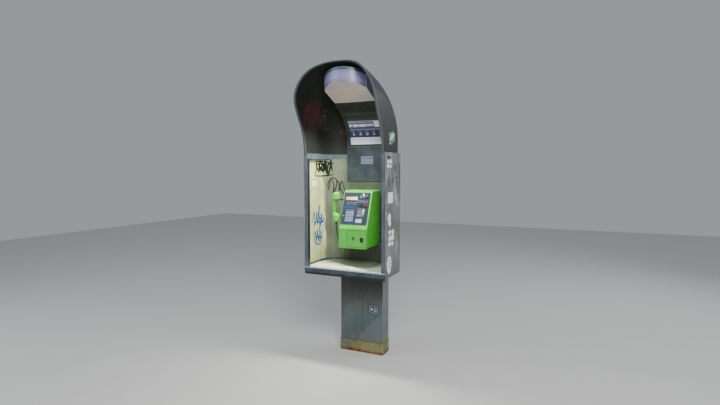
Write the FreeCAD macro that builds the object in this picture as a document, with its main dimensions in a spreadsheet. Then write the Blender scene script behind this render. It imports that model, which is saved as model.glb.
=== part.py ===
"""Pedestal telephone booth: a box column, a U-plan half cabinet, a domed hood with a lamp, and a payphone.

The front faces -Y, +X is to a user's right, and +Z is up. The origin is on the ground at the centre of
the four anchor bolts. Three local frames are used: the ground frame, the cabinet frame (its origin is
the middle of the cabinet's front lower edge) and the phone frame (the middle of the phone's front lower
edge). The phone's face leans back, and the pieces on it are placed in a face frame that leans with it.
"""
import FreeCAD
import Part
import Sketcher

import math
import os
import re

Vector = FreeCAD.Vector

SIZES = {
    # column
    "post_width": 357, "post_depth": 122, "post_height": 667, "post_wall": 4, "plate_thick": 12,
    "anchor_gap_x": 260, "anchor_gap_y": 50, "anchor_hole": 9, "cable_hole": 28,
    "cable_ahead": 20,
    "hatch_width": 200, "hatch_low": 40, "hatch_height": 220, "hatch_lap": 18, "hatch_thick": 3,
    # cabinet
    "overhang": 308, "cab_width": 644, "cab_depth": 408, "cab_height": 872, "skin": 3,
    "skin_corner": 150, "frame_wide": 28, "stile_deep": 30, "stile_wall": 2.5, "rail_high": 37,
    "pan_thick": 6, "lip_drop": 13, "floor_high": 36, "deck_thick": 3, "liner_gap": 3, "liner_thick": 3,
    "liner_back": 377, "liner_seam": 290, "channel_near": 112, "channel_wide": 40,
    "channel_wall": 3,
    # spine, notice and lamp
    "spine_width": 324, "spine_low": 664, "spine_turn": 923, "spine_bend": 348, "spine_thick": 4,
    "spine_gap": 0.5,
    "notice_start": 3.5, "notice_end": 36, "vent_end": 66.5, "notice_thick": 2, "vent_thick": 3,
    "lamp_half": 163, "lamp_side": 15, "lamp_front": -81, "lamp_back": 236, "lamp_low_y": 164,
    "lamp_low_z": 1244, "lamp_slope": 0.437, "lamp_top": 1450, "lamp_arch": 445, "lamp_sheet": 2.5,
    "lamp_gap": 0.4, "tube_radius": 13, "tube_length": 290, "tube_y": 112, "tube_z": 1306,
    "socket_wide": 34, "socket_high": 40,
    # hood
    "hood_half": 308, "hood_back": 394, "hood_wall": 8, "trim_lap": 14, "trim_wall": 2,
    # phone
    "phone_shift": 12, "phone_setback": 120, "phone_low": 177, "phone_width": 230,
    "phone_depth": 246, "phone_height": 422, "phone_wall": 3, "chin_high": 144, "face_low": 170,
    "face_step": 14, "face_lean": 91, "face_rise": 244, "phone_round": 10, "chassis_thick": 8,
    "face_width": 212, "face_start": 4, "face_end": 250, "face_thick": 2.5,
    "door_left": -43, "door_right": 108, "door_low": 12, "door_high": 132, "door_gap": 1.5,
    "door_thick": 4, "pin_radius": 1.25, "pin_inset": 3, "lock_x": 6, "lock_z": 75, "lock_radius": 7,
    "cup_left": 56, "cup_right": 93, "cup_low": 42, "cup_high": 88, "cup_deep": 40,
    "flap_left": 60, "flap_right": 89, "flap_low": 47, "flap_high": 84, "flap_thick": 2,
    "key_wide": 17, "key_high": 14, "key_pitch_x": 22, "key_pitch_z": 20, "key_proud": 4,
    "key_middle_x": -40, "key_low": 34, "key_play": 0.5,
    "coin_x": 44, "coin_z": 222, "coin_ring": 17, "coin_neck": 14.2, "coin_slot": 3.2,
    "card_left": 24, "card_right": 94, "card_low": 140, "card_high": 160, "card_slot": 3.6,
    "lever_left": 72, "lever_right": 90, "lever_low": 216, "lever_high": 236, "lever_fall": 8,
    "alarm_x": 82, "alarm_z": 178, "alarm_radius": 7, "board_back": 14.4, "board_thick": 1.6,
    # handset and hook
    "grip_x": -173, "grip_thick": 24, "grip_wide": 34, "ear_x": -123, "ear_size": 55,
    "set_low": 186, "set_high": 410, "set_y": 35, "hook_y": 105, "hook_z": 350, "hook_thick": 5,
}

doc = FreeCAD.newDocument("telephone_booth")
sheet = doc.addObject("Spreadsheet::Sheet", "sizes")
for row, (alias, number) in enumerate(SIZES.items(), start=1):
    sheet.set(f"A{row}", alias)
    sheet.set(f"B{row}", str(number))
    sheet.setAlias(f"B{row}", alias)
doc.recompute()

sub_parts = []

FRONT = "(-post_depth/2-overhang)"
GROUND_FRAME = ("0", "0", "0")
CABINET_FRAME = ("0", FRONT, "post_height")
PHONE_FRAME = ("phone_shift", f"{FRONT}+phone_setback", "post_height+phone_low")
FACE_FRAME = ("phone_shift", f"{FRONT}+phone_setback+face_step", "post_height+phone_low+face_low")
LEAN = "atan(face_lean/face_rise)"


def size(name):
    """A spreadsheet value as a number."""
    return float(sheet.get(name))


def bound(text):
    """An expression in which each alias names its cell in the sheet."""
    return re.sub(r"\b(?!atan\b|sin\b|cos\b|sqrt\b)([a-z][a-z_0-9]*)", r"sizes.\1", str(text))


def place(item, frame, lean=False):
    """Bind an object's placement to a frame, turned about X where it lies on the leaning face."""
    if lean:
        item.Placement.Rotation = FreeCAD.Rotation(Vector(-1, 0, 0), 1)
        item.setExpression("Placement.Rotation.Angle", bound(LEAN))
    for axis, text in zip("xyz", frame):
        item.setExpression(f"Placement.Base.{axis}", bound(text))


class Piece:
    """A sub-part as a PartDesign body, whose sketches and features are bound to the sheet."""

    def __init__(self, label, frame=CABINET_FRAME, lean=False):
        self.body = doc.addObject("PartDesign::Body", label)
        self.body.Label = label
        self.steps = 0
        place(self.body, frame, lean)
        sub_parts.append(self.body)

    def new(self, kind, word):
        self.steps += 1
        return self.body.newObject(kind, f"{self.body.Label}_{word}{self.steps}")

    def sketch(self, role, offset="0"):
        """A sketch on an origin plane, moved along the plane's normal by offset."""
        plane = next(f for f in self.body.Origin.OriginFeatures if f.Role == role)
        sketch = self.new("Sketcher::SketchObject", "sketch")
        sketch.AttachmentSupport = [(plane, "")]
        sketch.MapMode = "FlatFace"
        sketch.setExpression("AttachmentOffset.Base.z", bound(offset))
        return sketch

    def outline(self, role, corners, offset="0"):
        """A closed outline of straight lines, with each corner's place bound to the sheet."""
        sketch = self.sketch(role, offset)
        count = len(corners)
        ring = [
            Vector(math.cos(2 * math.pi * i / count), math.sin(2 * math.pi * i / count), 0) * 50
            for i in range(count)
        ]
        for i in range(count):
            sketch.addGeometry(Part.LineSegment(ring[i], ring[(i + 1) % count]), False)
        for i in range(count):
            sketch.addConstraint(Sketcher.Constraint("Coincident", i, 2, (i + 1) % count, 1))
        for i, corner in enumerate(corners):
            for kind, text in zip(("DistanceX", "DistanceY"), corner):
                self.name_value(sketch, f"{kind}{i}", Sketcher.Constraint(kind, -1, 1, i, 1, 1.0), text)
        return sketch

    def rectangle(self, role, left, low, right, high, offset="0"):
        return self.outline(role, [(left, low), (right, low), (right, high), (left, high)], offset)

    def name_value(self, sketch, name, constraint, text):
        """Add a named constraint whose value is bound to the sheet."""
        sketch.renameConstraint(sketch.addConstraint(constraint), name)
        sketch.setExpression(f"Constraints.{name}", bound(text))

    def u_plan(self, half, front, back, corner, offset="0"):
        """A plan outline, square at the front and with rounded corners at the back."""
        sketch = self.sketch("XY_Plane", offset)
        wide, deep, curve = 300, 380, 120
        upward = Vector(0, 0, 1)
        left_centre = Vector(curve - wide, deep - curve, 0)
        right_centre = Vector(wide - curve, deep - curve, 0)
        sketch.addGeometry([
            Part.LineSegment(Vector(-wide, 0, 0), Vector(-wide, deep - curve, 0)),
            Part.ArcOfCircle(Part.Circle(left_centre, upward, curve), math.pi / 2, math.pi),
            Part.LineSegment(Vector(curve - wide, deep, 0), Vector(wide - curve, deep, 0)),
            Part.ArcOfCircle(Part.Circle(right_centre, upward, curve), 0, math.pi / 2),
            Part.LineSegment(Vector(wide, deep - curve, 0), Vector(wide, 0, 0)),
            Part.LineSegment(Vector(wide, 0, 0), Vector(-wide, 0, 0)),
        ], False)
        for joined in ((0, 2, 1, 2), (1, 1, 2, 1), (2, 2, 3, 2), (3, 1, 4, 1)):
            sketch.addConstraint(Sketcher.Constraint("Tangent", *joined))
        for joined in ((4, 2, 5, 1), (5, 2, 0, 1)):
            sketch.addConstraint(Sketcher.Constraint("Coincident", *joined))
        for kind, line in (("Vertical", 0), ("Vertical", 4), ("Horizontal", 2), ("Horizontal", 5)):
            sketch.addConstraint(Sketcher.Constraint(kind, line))
        for name, constraint, text in (
            ("left", Sketcher.Constraint("DistanceX", -1, 1, 0, 1, -wide), f"-({half})"),
            ("right", Sketcher.Constraint("DistanceX", -1, 1, 4, 2, wide), half),
            ("front", Sketcher.Constraint("DistanceY", -1, 1, 0, 1, 0), front),
            ("back", Sketcher.Constraint("DistanceY", -1, 1, 2, 1, deep), back),
            ("curve_left", Sketcher.Constraint("Radius", 1, curve), corner),
            ("curve_right", Sketcher.Constraint("Radius", 3, curve), corner),
        ):
            self.name_value(sketch, name, constraint, text)
        return sketch

    def circles(self, role, centres, radius, offset="0"):
        """One or more circles of one radius."""
        sketch = self.sketch(role, offset)
        for i, centre in enumerate(centres):
            sketch.addGeometry(Part.Circle(Vector(10 * i, 0, 0), Vector(0, 0, 1), 4), False)
            for kind, text in zip(("DistanceX", "DistanceY"), centre):
                self.name_value(sketch, f"{kind}{i}", Sketcher.Constraint(kind, -1, 1, i, 3, 1.0), text)
            self.name_value(sketch, f"Radius{i}", Sketcher.Constraint("Radius", i, 4.0), radius)
        return sketch

    def pad(self, sketch, length, middle=False, back=False):
        feature = self.new("PartDesign::Pad", "pad")
        feature.Profile = sketch
        feature.setExpression("Length", bound(length))
        feature.Midplane = middle
        feature.Reversed = back
        doc.recompute()
        return self

    def pocket(self, sketch, length="0", middle=False, back=False):
        """Cut a sketch out, to a length or right through when none is given, and check that it cuts."""
        before = self.body.Shape.Volume
        feature = self.new("PartDesign::Pocket", "pocket")
        feature.Profile = sketch
        if length == "0":
            feature.Type = "ThroughAll"
        else:
            feature.setExpression("Length", bound(length))
        feature.Midplane = middle or length == "0"
        feature.Reversed = back
        doc.recompute()
        if not self.body.Shape.Volume < before - 1e-6:
            raise RuntimeError(f"{feature.Label} cuts nothing")
        return self

    def fillet(self, radius, test):
        """Round the edges whose two ends pass the test, which is given both points in the body's frame."""
        tip = self.body.Tip
        edges = []
        for number, edge in enumerate(tip.Shape.Edges, start=1):
            ends = [vertex.Point for vertex in edge.Vertexes]
            if len(ends) == 2 and test(*ends):
                edges.append(f"Edge{number}")
        if not edges:
            raise RuntimeError(f"{self.body.Label} has no edge to round")
        feature = self.new("PartDesign::Fillet", "fillet")
        feature.Base = (tip, edges)
        feature.setExpression("Radius", bound(radius))
        doc.recompute()
        return self


def plain(label, shape):
    """A sub-part whose shape is made with Part's own functions, from the sheet's values."""
    item = doc.addObject("Part::Feature", label)
    item.Label = label
    item.Shape = shape
    sub_parts.append(item)
    return item


def frame_origin(name):
    """The origin of the cabinet or phone frame as a point."""
    front = -size("post_depth") / 2 - size("overhang")
    if name == "cabinet":
        return Vector(0, front, size("post_height"))
    return Vector(size("phone_shift"), front + size("phone_setback"), size("post_height") + size("phone_low"))


def upright(side):
    """A test for vertical edges at a given half width."""

    def test(a, b):
        same = abs(a.x - b.x) < 0.01 and abs(a.y - b.y) < 0.01 and abs(a.z - b.z) > 1
        return same and abs(abs(a.x) - side) < 0.5

    return test


# ---------------------------------------------------------------- column


def make_column():
    half_x, half_y = "(post_width/2-post_wall)", "(post_depth/2-post_wall)"
    anchors = [
        (f"{sx}*anchor_gap_x/2", f"{sy}*anchor_gap_y/2") for sx in ("-1", "1") for sy in ("-1", "1")
    ]
    plate = Piece("base_plate", GROUND_FRAME)
    plate.pad(plate.rectangle("XY_Plane", f"-{half_x}", f"-{half_y}", half_x, half_y), "plate_thick")
    plate.pocket(plate.circles("XY_Plane", anchors, "anchor_hole"))
    plate.pocket(plate.circles("XY_Plane", [("0", "0")], "cable_hole"))

    column = Piece("pedestal_column", GROUND_FRAME)
    outer = column.rectangle(
        "XY_Plane", "-post_width/2", "-post_depth/2", "post_width/2", "post_depth/2"
    )
    column.pad(outer, "post_height-plate_thick")
    column.pocket(column.rectangle("XY_Plane", f"-{half_x}", f"-{half_y}", half_x, half_y))
    hatch = column.rectangle(
        "XZ_Plane", "-hatch_width/2", "hatch_low", "hatch_width/2", "hatch_low+hatch_height",
        "-post_depth/2-1",
    )
    column.pocket(hatch, "post_wall+2", back=True)
    column.fillet("5", upright(side=size("post_width") / 2))

    cover = Piece("access_cover", GROUND_FRAME)
    edge = cover.rectangle(
        "XZ_Plane", "-hatch_width/2-hatch_lap", "hatch_low-hatch_lap", "hatch_width/2+hatch_lap",
        "hatch_low+hatch_height+hatch_lap", "-post_depth/2-hatch_thick",
    )
    cover.pad(edge, "hatch_thick")
    cover.fillet("8", lambda a, b: abs(a.y - b.y) > 1)

    flange = Piece("column_top_flange", GROUND_FRAME)
    top = flange.rectangle(
        "XY_Plane", "-post_width/2", "-post_depth/2", "post_width/2", "post_depth/2",
        "post_height-plate_thick",
    )
    flange.pad(top, "plate_thick")
    flange.pocket(flange.circles("XY_Plane", [("0", "-cable_ahead")], "cable_hole"))
    flange.fillet("5", upright(side=size("post_width") / 2))


# Head radius, head height and shank radius.
SCREW = (6, 3, 2.5)
CABINET_BOLT = (9, 8, 6)


def bolt(seat, direction, kind, shank_long):
    """A round-head bolt: the head stands out along direction and the shank goes the other way."""
    head_radius, head_high, shank_radius = kind
    head = Part.makeCylinder(head_radius, head_high, seat, direction)
    shank = Part.makeCylinder(shank_radius, shank_long, seat, direction * -1)
    return head.fuse(shank).removeSplitter()


def make_bolts():
    """The cover's four screws, the cabinet's four bolts on the column, and the hood's six."""
    bolts = []
    screw_x = size("hatch_width") / 2 + size("hatch_lap") / 2
    for x in (-screw_x, screw_x):
        for z in (size("hatch_low"), size("hatch_low") + size("hatch_height")):
            face = Vector(x, size("post_depth") / 2 + size("hatch_thick"), z)
            bolts.append(bolt(face, Vector(0, 1, 0), SCREW, 9))
    for x in (-140, 140):
        for y in (-40, -6):
            seat = Vector(x, y, size("post_height") + size("pan_thick"))
            bolts.append(bolt(seat, Vector(0, 0, 1), CABINET_BOLT, 30))
    front = frame_origin("cabinet").y
    rail_low = size("post_height") + size("cab_height") - size("rail_high")
    hood_places = [(x, depth) for x in (-304, 304) for depth in (70, 200)]
    hood_places += [(x, size("hood_back") - size("hood_wall") / 2) for x in (-90, 90)]
    for x, depth in hood_places:
        seat = Vector(x, front + depth, rail_low)
        bolts.append(bolt(seat, Vector(0, 0, -1), SCREW, size("rail_high") + 12))
    plain("booth_bolts", Part.makeCompound(bolts))


# ---------------------------------------------------------------- cabinet


def u_ring(piece, half, back, corner, wall, low, high, front="0"):
    """A U-plan wall, open at the front, with rounded rear corners inside and out."""
    piece.pad(piece.u_plan(half, front, back, corner, low), f"{high}-({low})")
    hollow = piece.u_plan(f"{half}-({wall})", f"{front}-5", f"{back}-({wall})", f"{corner}-({wall})", low)
    return piece.pocket(hollow)


def u_plate(piece, half, back, corner, low, thick, front="0"):
    """A flat plate with the cabinet's plan."""
    return piece.pad(piece.u_plan(half, front, back, corner, low), thick)


def make_cabinet():
    inside, back = "cab_width/2-skin", "cab_depth-skin"
    corner = "skin_corner-skin"
    wall_low, wall_high = "floor_high+deck_thick", "cab_height-rail_high"

    u_ring(Piece("outer_skin"), "cab_width/2", "cab_depth", "skin_corner", "skin", "0", "cab_height")

    pan = u_plate(Piece("floor_pan"), inside, back, corner, "0", "pan_thick", front="skin")
    pan.pocket(pan.circles("XY_Plane", [("0", "overhang+post_depth/2-cable_ahead")], "cable_hole"))
    u_ring(
        Piece("floor_frame"), inside, back, corner, "frame_wide", "pan_thick", "floor_high",
        front="stile_deep",
    )
    u_plate(Piece("shelf_deck"), inside, back, corner, "floor_high", "deck_thick", front="stile_deep")

    rail = Piece("front_rail")
    rail.pad(rail.rectangle("XY_Plane", f"-({inside})", "0", inside, "stile_deep", "pan_thick"),
             "floor_high+deck_thick-pan_thick")
    rail.pad(rail.rectangle("XY_Plane", f"-({inside})", "0", inside, "skin", "-lip_drop"),
             "lip_drop+pan_thick+1")
    hollow = rail.rectangle(
        "YZ_Plane", "skin", "pan_thick+skin", "stile_deep+5", "floor_high+deck_thick-skin"
    )
    rail.pocket(hollow, "cab_width-4*skin", middle=True)

    for label, sign in (("stile_left", "-1"), ("stile_right", "1")):
        stile = Piece(label)
        low_x, high_x = f"{sign}*({inside})", f"{sign}*({inside}-frame_wide)"
        stile.pad(stile.rectangle("XY_Plane", low_x, "0", high_x, "stile_deep", wall_low),
                  f"{wall_high}-({wall_low})")
        stile.pocket(stile.rectangle(
            "XY_Plane", f"{low_x}-({sign})*stile_wall", "stile_wall",
            f"{high_x}+({sign})*stile_wall", "stile_deep-stile_wall", wall_low,
        ))

    u_ring(Piece("top_rail"), inside, back, corner, "frame_wide", wall_high, "cab_height")

    half = "cab_width/2-skin-liner_gap"
    parts = (("liner_left", "1"), ("liner_right", "-1"), ("liner_rear", "0"))
    for label, away in parts:
        liner = u_ring(
            Piece(label), half, "liner_back", "skin_corner", "liner_thick", wall_low, wall_high,
            front="stile_deep",
        )
        if away == "0":
            liner.pocket(liner.rectangle("XY_Plane", "-cab_width", "0", "cab_width", "liner_seam",
                                         wall_low))
        else:
            liner.pocket(liner.rectangle("XY_Plane", "0", "0", f"{away}*cab_width", "cab_depth",
                                         wall_low))
            liner.pocket(liner.rectangle("XY_Plane", "-cab_width", "liner_seam", "cab_width",
                                         "cab_depth", wall_low))

    channels = []
    origin = frame_origin("cabinet")
    low = size("floor_high") + size("deck_thick")
    tall = size("cab_height") - size("rail_high") - low
    deep = size("cab_depth") - size("skin") - size("liner_back")
    wide, wall = size("channel_wide"), size("channel_wall")
    for side in (-1, 1):
        near = size("channel_near") if side > 0 else -size("channel_near") - wide
        outer = Part.makeBox(wide, deep, tall, origin + Vector(near, size("liner_back"), low))
        hollow = Part.makeBox(wide - 2 * wall, deep - wall, tall,
                              origin + Vector(near + wall, size("liner_back"), low))
        channels.append(outer.cut(hollow))
    plain("backbone_channels", Part.makeCompound(channels))


# ---------------------------------------------------------------- spine, notice, lamp


def bend_point(radius, degrees):
    """A point (y, z) of the cabinet frame on the spine's bend."""
    centre_y = size("liner_back") - size("liner_thick") - size("spine_gap") - size("spine_bend")
    turn = math.radians(degrees)
    return centre_y + radius * math.cos(turn), size("spine_turn") + radius * math.sin(turn)


def bent_strip(front_radius, thick, start, end, half_width, low=None):
    """A strip bent about the spine's axis; with low, it also runs straight down to that height."""
    outer, inner = front_radius + thick, front_radius
    origin = frame_origin("cabinet")

    def at(radius, degrees):
        y, z = bend_point(radius, degrees)
        return origin + Vector(size("phone_shift") - half_width, y, z)

    middle = (start + end) / 2
    edges = []
    start_in, start_out = at(inner, start), at(outer, start)
    if low is not None:
        drop = Vector(0, 0, low - size("spine_turn"))
        low_in, low_out = start_in + drop, start_out + drop
        edges += [Part.LineSegment(start_out, low_out), Part.LineSegment(low_out, low_in),
                  Part.LineSegment(low_in, start_in)]
    else:
        edges += [Part.LineSegment(start_out, start_in)]
    edges += [
        Part.Arc(start_in, at(inner, middle), at(inner, end)),
        Part.LineSegment(at(inner, end), at(outer, end)),
        Part.Arc(at(outer, end), at(outer, middle), start_out),
    ]
    face = Part.Face(Part.Wire([edge.toShape() for edge in edges]))
    return face.extrude(Vector(2 * half_width, 0, 0))


def make_spine():
    bend, thick = size("spine_bend"), size("spine_thick")
    half = size("spine_width") / 2
    panel = bent_strip(bend - thick, thick, 0, size("vent_end"), half, size("spine_low"))
    plain("spine_panel", panel)
    notice = size("notice_thick")
    plate = bent_strip(bend - thick - notice, notice, size("notice_start"), size("notice_end"), half - 2)
    plain("notice_plate", plate)
    vent = size("vent_thick")
    strip = bent_strip(bend - thick - vent, vent, size("notice_end") + 1, size("vent_end"), half - 2)
    plain("vent_strip", strip)


def lamp_plan(inset, back):
    """The lamp's plan moved inwards by inset, with straight sides and a bowed front, as a tall solid."""
    centre = frame_origin("cabinet") + Vector(size("phone_shift"), 0, 0)
    half, side = size("lamp_half") - inset, size("lamp_side")
    corners = [centre + Vector(x, y, 0)
               for x, y in ((half, side), (half, back), (-half, back), (-half, side))]
    bow = Part.Arc(corners[3], centre + Vector(0, size("lamp_front") + inset, 0), corners[0])
    lines = [Part.LineSegment(corners[i], corners[i + 1]) for i in range(3)]
    plan = Part.Face(Part.Wire([edge.toShape() for edge in (bow, *lines)]))
    return plan.extrude(Vector(0, 0, 2 * size("cab_height")))


def above_lamp_floor(inset):
    """Everything above the lamp's sloping underside, moved up by inset."""
    centre = frame_origin("cabinet") + Vector(size("phone_shift"), 0, 0)
    slope, low_y = size("lamp_slope"), size("lamp_low_y")
    low_z = size("lamp_low_z") + inset * math.sqrt(1 + slope * slope)
    far, tall = size("cab_depth"), 2 * size("cab_height")
    wedge = [centre + Vector(-far, y, z) for y, z in (
        (low_y - far, low_z + slope * far), (low_y + far, low_z - slope * far), (low_y + far, tall),
        (low_y - far, tall))]
    return Part.Face(Part.makePolygon(wedge + wedge[:1])).extrude(Vector(2 * far, 0, 0))


def lamp_form(inset):
    """The lamp's body moved inwards by inset, with an arched top that stays under the hood."""
    far = size("cab_depth")
    arch = Part.makeCylinder(
        size("lamp_arch") - inset, 2 * far,
        frame_origin("cabinet") + Vector(size("phone_shift"), -far, size("lamp_top") - size("lamp_arch")),
        Vector(0, 1, 0))
    below = hood_form(size("hood_wall") + size("lamp_gap") + inset, 0, 30)
    body = lamp_plan(inset, size("lamp_back") - inset)
    return body.common(above_lamp_floor(inset)).common(arch).common(below)


def make_lamp():
    """The lamp at the top of the spine: bowed diffuser, the tray over it with two sockets, and the tube."""
    sheet_thick = size("lamp_sheet")
    shell = lamp_form(0).cut(lamp_form(sheet_thick))
    lid = shell.common(lamp_plan(sheet_thick, size("cab_depth")).common(above_lamp_floor(sheet_thick)))
    plain("lamp_diffuser", shell.cut(lid))

    centre = frame_origin("cabinet") + Vector(size("phone_shift"), 0, 0)
    half = size("lamp_half") - sheet_thick
    tube_at = centre + Vector(0, size("tube_y"), size("tube_z"))
    tube_half = size("tube_length") / 2
    tube = Part.makeCylinder(size("tube_radius"), 2 * tube_half, tube_at - Vector(tube_half, 0, 0),
                             Vector(1, 0, 0))
    plain("lamp_tube", tube)
    wide, high, deep = size("socket_wide"), size("socket_high"), half - tube_half
    sockets = [
        Part.makeBox(deep, wide, high, tube_at + Vector(x, -wide / 2, -high / 2))
        for x in (-tube_half - deep, tube_half)
    ]
    plain("lamp_tray", Part.makeCompound([lid, *sockets]))


# ---------------------------------------------------------------- hood


# The hood's plan turns about a line in front of it: at each angle up from level, the reach from that
# line to the crown, and the radius of the two rounded corners.
HOOD_AXIS = Vector(0, -200, 933)
HOOD_STATIONS = ((0, 594, 150), (13, 596, 152), (26, 591, 168), (39, 582, 196), (52, 577, 234),
                 (65, 575, 272), (78, 574, 294), (92, 566, 297), (104, 556, 297))


def hood_section(base, reach_dir, half, reach, corner, near):
    """One closed section: two straight legs, two round corners and the crown between them."""
    across = Vector(1, 0, 0)

    def at(x, distance):
        return base + across * x + reach_dir * distance

    flat = half - corner
    slant = corner * math.sin(math.pi / 4)
    left, right = -half, half
    return Part.Wire([
        Part.LineSegment(at(left, near), at(left, reach - corner)).toShape(),
        Part.Arc(at(left, reach - corner), at(-flat - slant, reach - corner + slant),
                 at(-flat, reach)).toShape(),
        Part.LineSegment(at(-flat, reach), at(flat, reach)).toShape(),
        Part.Arc(at(flat, reach), at(flat + slant, reach - corner + slant),
                 at(right, reach - corner)).toShape(),
        Part.LineSegment(at(right, reach - corner), at(right, near)).toShape(),
        Part.LineSegment(at(right, near), at(left, near)).toShape(),
    ])


def hood_form(inset, extra_low, near, last_turn=0):
    """A solid bounded by the hood's surface moved inwards by inset; its foot reaches lower by extra_low,
    its front edge is near the axis, and its last section is turned on by last_turn degrees."""
    origin = frame_origin("cabinet")
    base = origin + HOOD_AXIS
    half = size("hood_half") - inset
    shift = size("hood_back") - (HOOD_AXIS.y + HOOD_STATIONS[0][1])
    sections = []
    foot = origin + Vector(0, HOOD_AXIS.y, size("cab_height") - extra_low)
    level = Vector(0, 1, 0)
    first = HOOD_STATIONS[0]
    sections.append(hood_section(foot, level, half, first[1] + shift - inset, first[2] - inset, near))
    for degrees, reach, corner in HOOD_STATIONS:
        turn = math.radians(degrees + (last_turn if degrees > 100 else 0))
        direction = Vector(0, math.cos(turn), math.sin(turn))
        sections.append(
            hood_section(base, direction, half, reach + shift - inset, corner - inset, near)
        )
    return Part.makeLoft(sections, True, False)


def rim_prism(moved):
    """Everything behind the hood's front edge, the edge moved back by the given distance."""
    origin = frame_origin("cabinet")
    points = [(-17, 850), (-20, 905), (-38, 998), (-80, 1083), (-131, 1176), (-157, 1262), (-156, 1345),
              (-130, 1440), (-60, 1502), (40, 1540)]
    wide = 340
    edge = Part.BSplineCurve()
    edge.interpolate([origin + Vector(-wide, y + moved, z) for y, z in points])
    first, last = origin + Vector(-wide, points[0][0] + moved, points[0][1]), origin + Vector(
        -wide, points[-1][0] + moved, points[-1][1])
    far_top, far_low = origin + Vector(-wide, 600, 1540), origin + Vector(-wide, 600, 850)
    wire = Part.Wire([edge.toShape(), Part.LineSegment(last, far_top).toShape(),
                      Part.LineSegment(far_top, far_low).toShape(),
                      Part.LineSegment(far_low, first).toShape()])
    return Part.Face(wire).extrude(Vector(2 * wide, 0, 0))


def make_hood():
    wall, trim = size("hood_wall"), size("trim_wall")
    skin = hood_form(0, 0, 60).cut(hood_form(wall, 20, 30, 3))
    shell = skin.common(rim_prism(trim))
    origin = frame_origin("cabinet")
    far = 2 * size("cab_height")
    for label, start in (("hood_left", -far), ("hood_right", 0)):
        region = Part.makeBox(far, 2 * far, far, origin + Vector(start, -far, 0))
        plain(label, shell.common(region))
    proud = hood_form(-trim, 0, 60).cut(hood_form(wall + trim, 20, 30, 3))
    band = rim_prism(0).cut(rim_prism(size("trim_lap")))
    plain("hood_rim_trim", proud.common(band).cut(shell))


# ---------------------------------------------------------------- phone


def phone_profile(inset, open_back):
    """The phone's side outline, moved inwards; the hollow runs out through the back."""
    slope = size("face_lean") / size("face_rise")
    stretch = math.sqrt(1 + slope * slope)
    back = "phone_depth+5" if open_back else "phone_depth"
    return [
        (f"{inset}", f"{inset}"),
        (f"{inset}", f"chin_high-{inset}*0.3"),
        (f"face_step+{inset}*{stretch:.4f}", "face_low"),
        (f"face_step+face_lean+{inset}*{stretch:.4f}", "face_low+face_rise"),
        (f"face_step+face_lean+12+{inset}", f"phone_height-{inset}"),
        (back, f"phone_height-{inset}"),
        (back, f"{inset}"),
    ]


def make_phone_case():
    chassis = Piece("phone_chassis", PHONE_FRAME)
    chassis.pad(chassis.rectangle("XZ_Plane", "-phone_width/2+2", "2", "phone_width/2-2",
                                  "phone_height-2",
                                  "-liner_back+liner_thick+phone_setback"), "chassis_thick")

    housing = Piece("phone_housing", PHONE_FRAME)
    housing.pad(housing.outline("YZ_Plane", phone_profile("0", False)), "phone_width", middle=True)
    edge_x = size("phone_width") / 2
    back_y = size("phone_depth")
    housing.fillet("phone_round", lambda a, b: abs(abs(a.x) - edge_x) < 0.1 and abs(abs(b.x) - edge_x) < 0.1
                   and min(a.y, b.y) < back_y - 1 and abs(a.x - b.x) < 1)
    housing.pocket(housing.outline("YZ_Plane", phone_profile("phone_wall", True)),
                   "phone_width-2*phone_wall", middle=True)
    housing.pocket(housing.rectangle("XZ_Plane", "door_left-door_gap", "door_low-door_gap",
                                     "door_right+door_gap", "door_high+door_gap", "1"), "phone_wall+2")
    return housing


def make_phone_window(housing):
    """Cut the opening behind the faceplate, square to the leaning face, and the hook's hole."""
    margin, reach = 8, 12
    window = doc.addObject("Part::Box", "face_opening")
    for name, text in (("Length", f"face_width-{2 * margin}"), ("Width", "30"),
                       ("Height", f"face_end-face_start-{2 * margin + 4}")):
        window.setExpression(name, bound(text))
    place(window, FACE_FRAME, lean=True)
    tilt = math.atan(size("face_lean") / size("face_rise"))
    up = size("face_start") + margin + 2
    move_y = up * math.sin(tilt) - reach * math.cos(tilt)
    move_z = up * math.cos(tilt) + reach * math.sin(tilt)
    place(window, (f"phone_shift-face_width/2+{margin}",
                   f"{FRONT}+phone_setback+face_step+({move_y:.4f})",
                   f"post_height+phone_low+face_low+({move_z:.4f})"))
    shaft = doc.addObject("Part::Cylinder", "hook_opening")
    shaft.Radius = 9
    shaft.Height = 20
    shaft.Placement = FreeCAD.Placement(
        frame_origin("phone") + Vector(-size("phone_width") / 2 - 5, size("hook_y"), size("hook_z")),
        FreeCAD.Rotation(Vector(0, 1, 0), 90),
    )
    tools = doc.addObject("Part::Fuse", "housing_openings")
    tools.Base, tools.Tool = window, shaft
    cut = doc.addObject("Part::Cut", "phone_housing_cut")
    cut.Base, cut.Tool = housing.body, tools
    doc.recompute()
    housing.body.Label = "phone_housing_blank"
    cut.Label = "phone_housing"
    sub_parts.remove(housing.body)
    sub_parts.append(cut)


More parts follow.
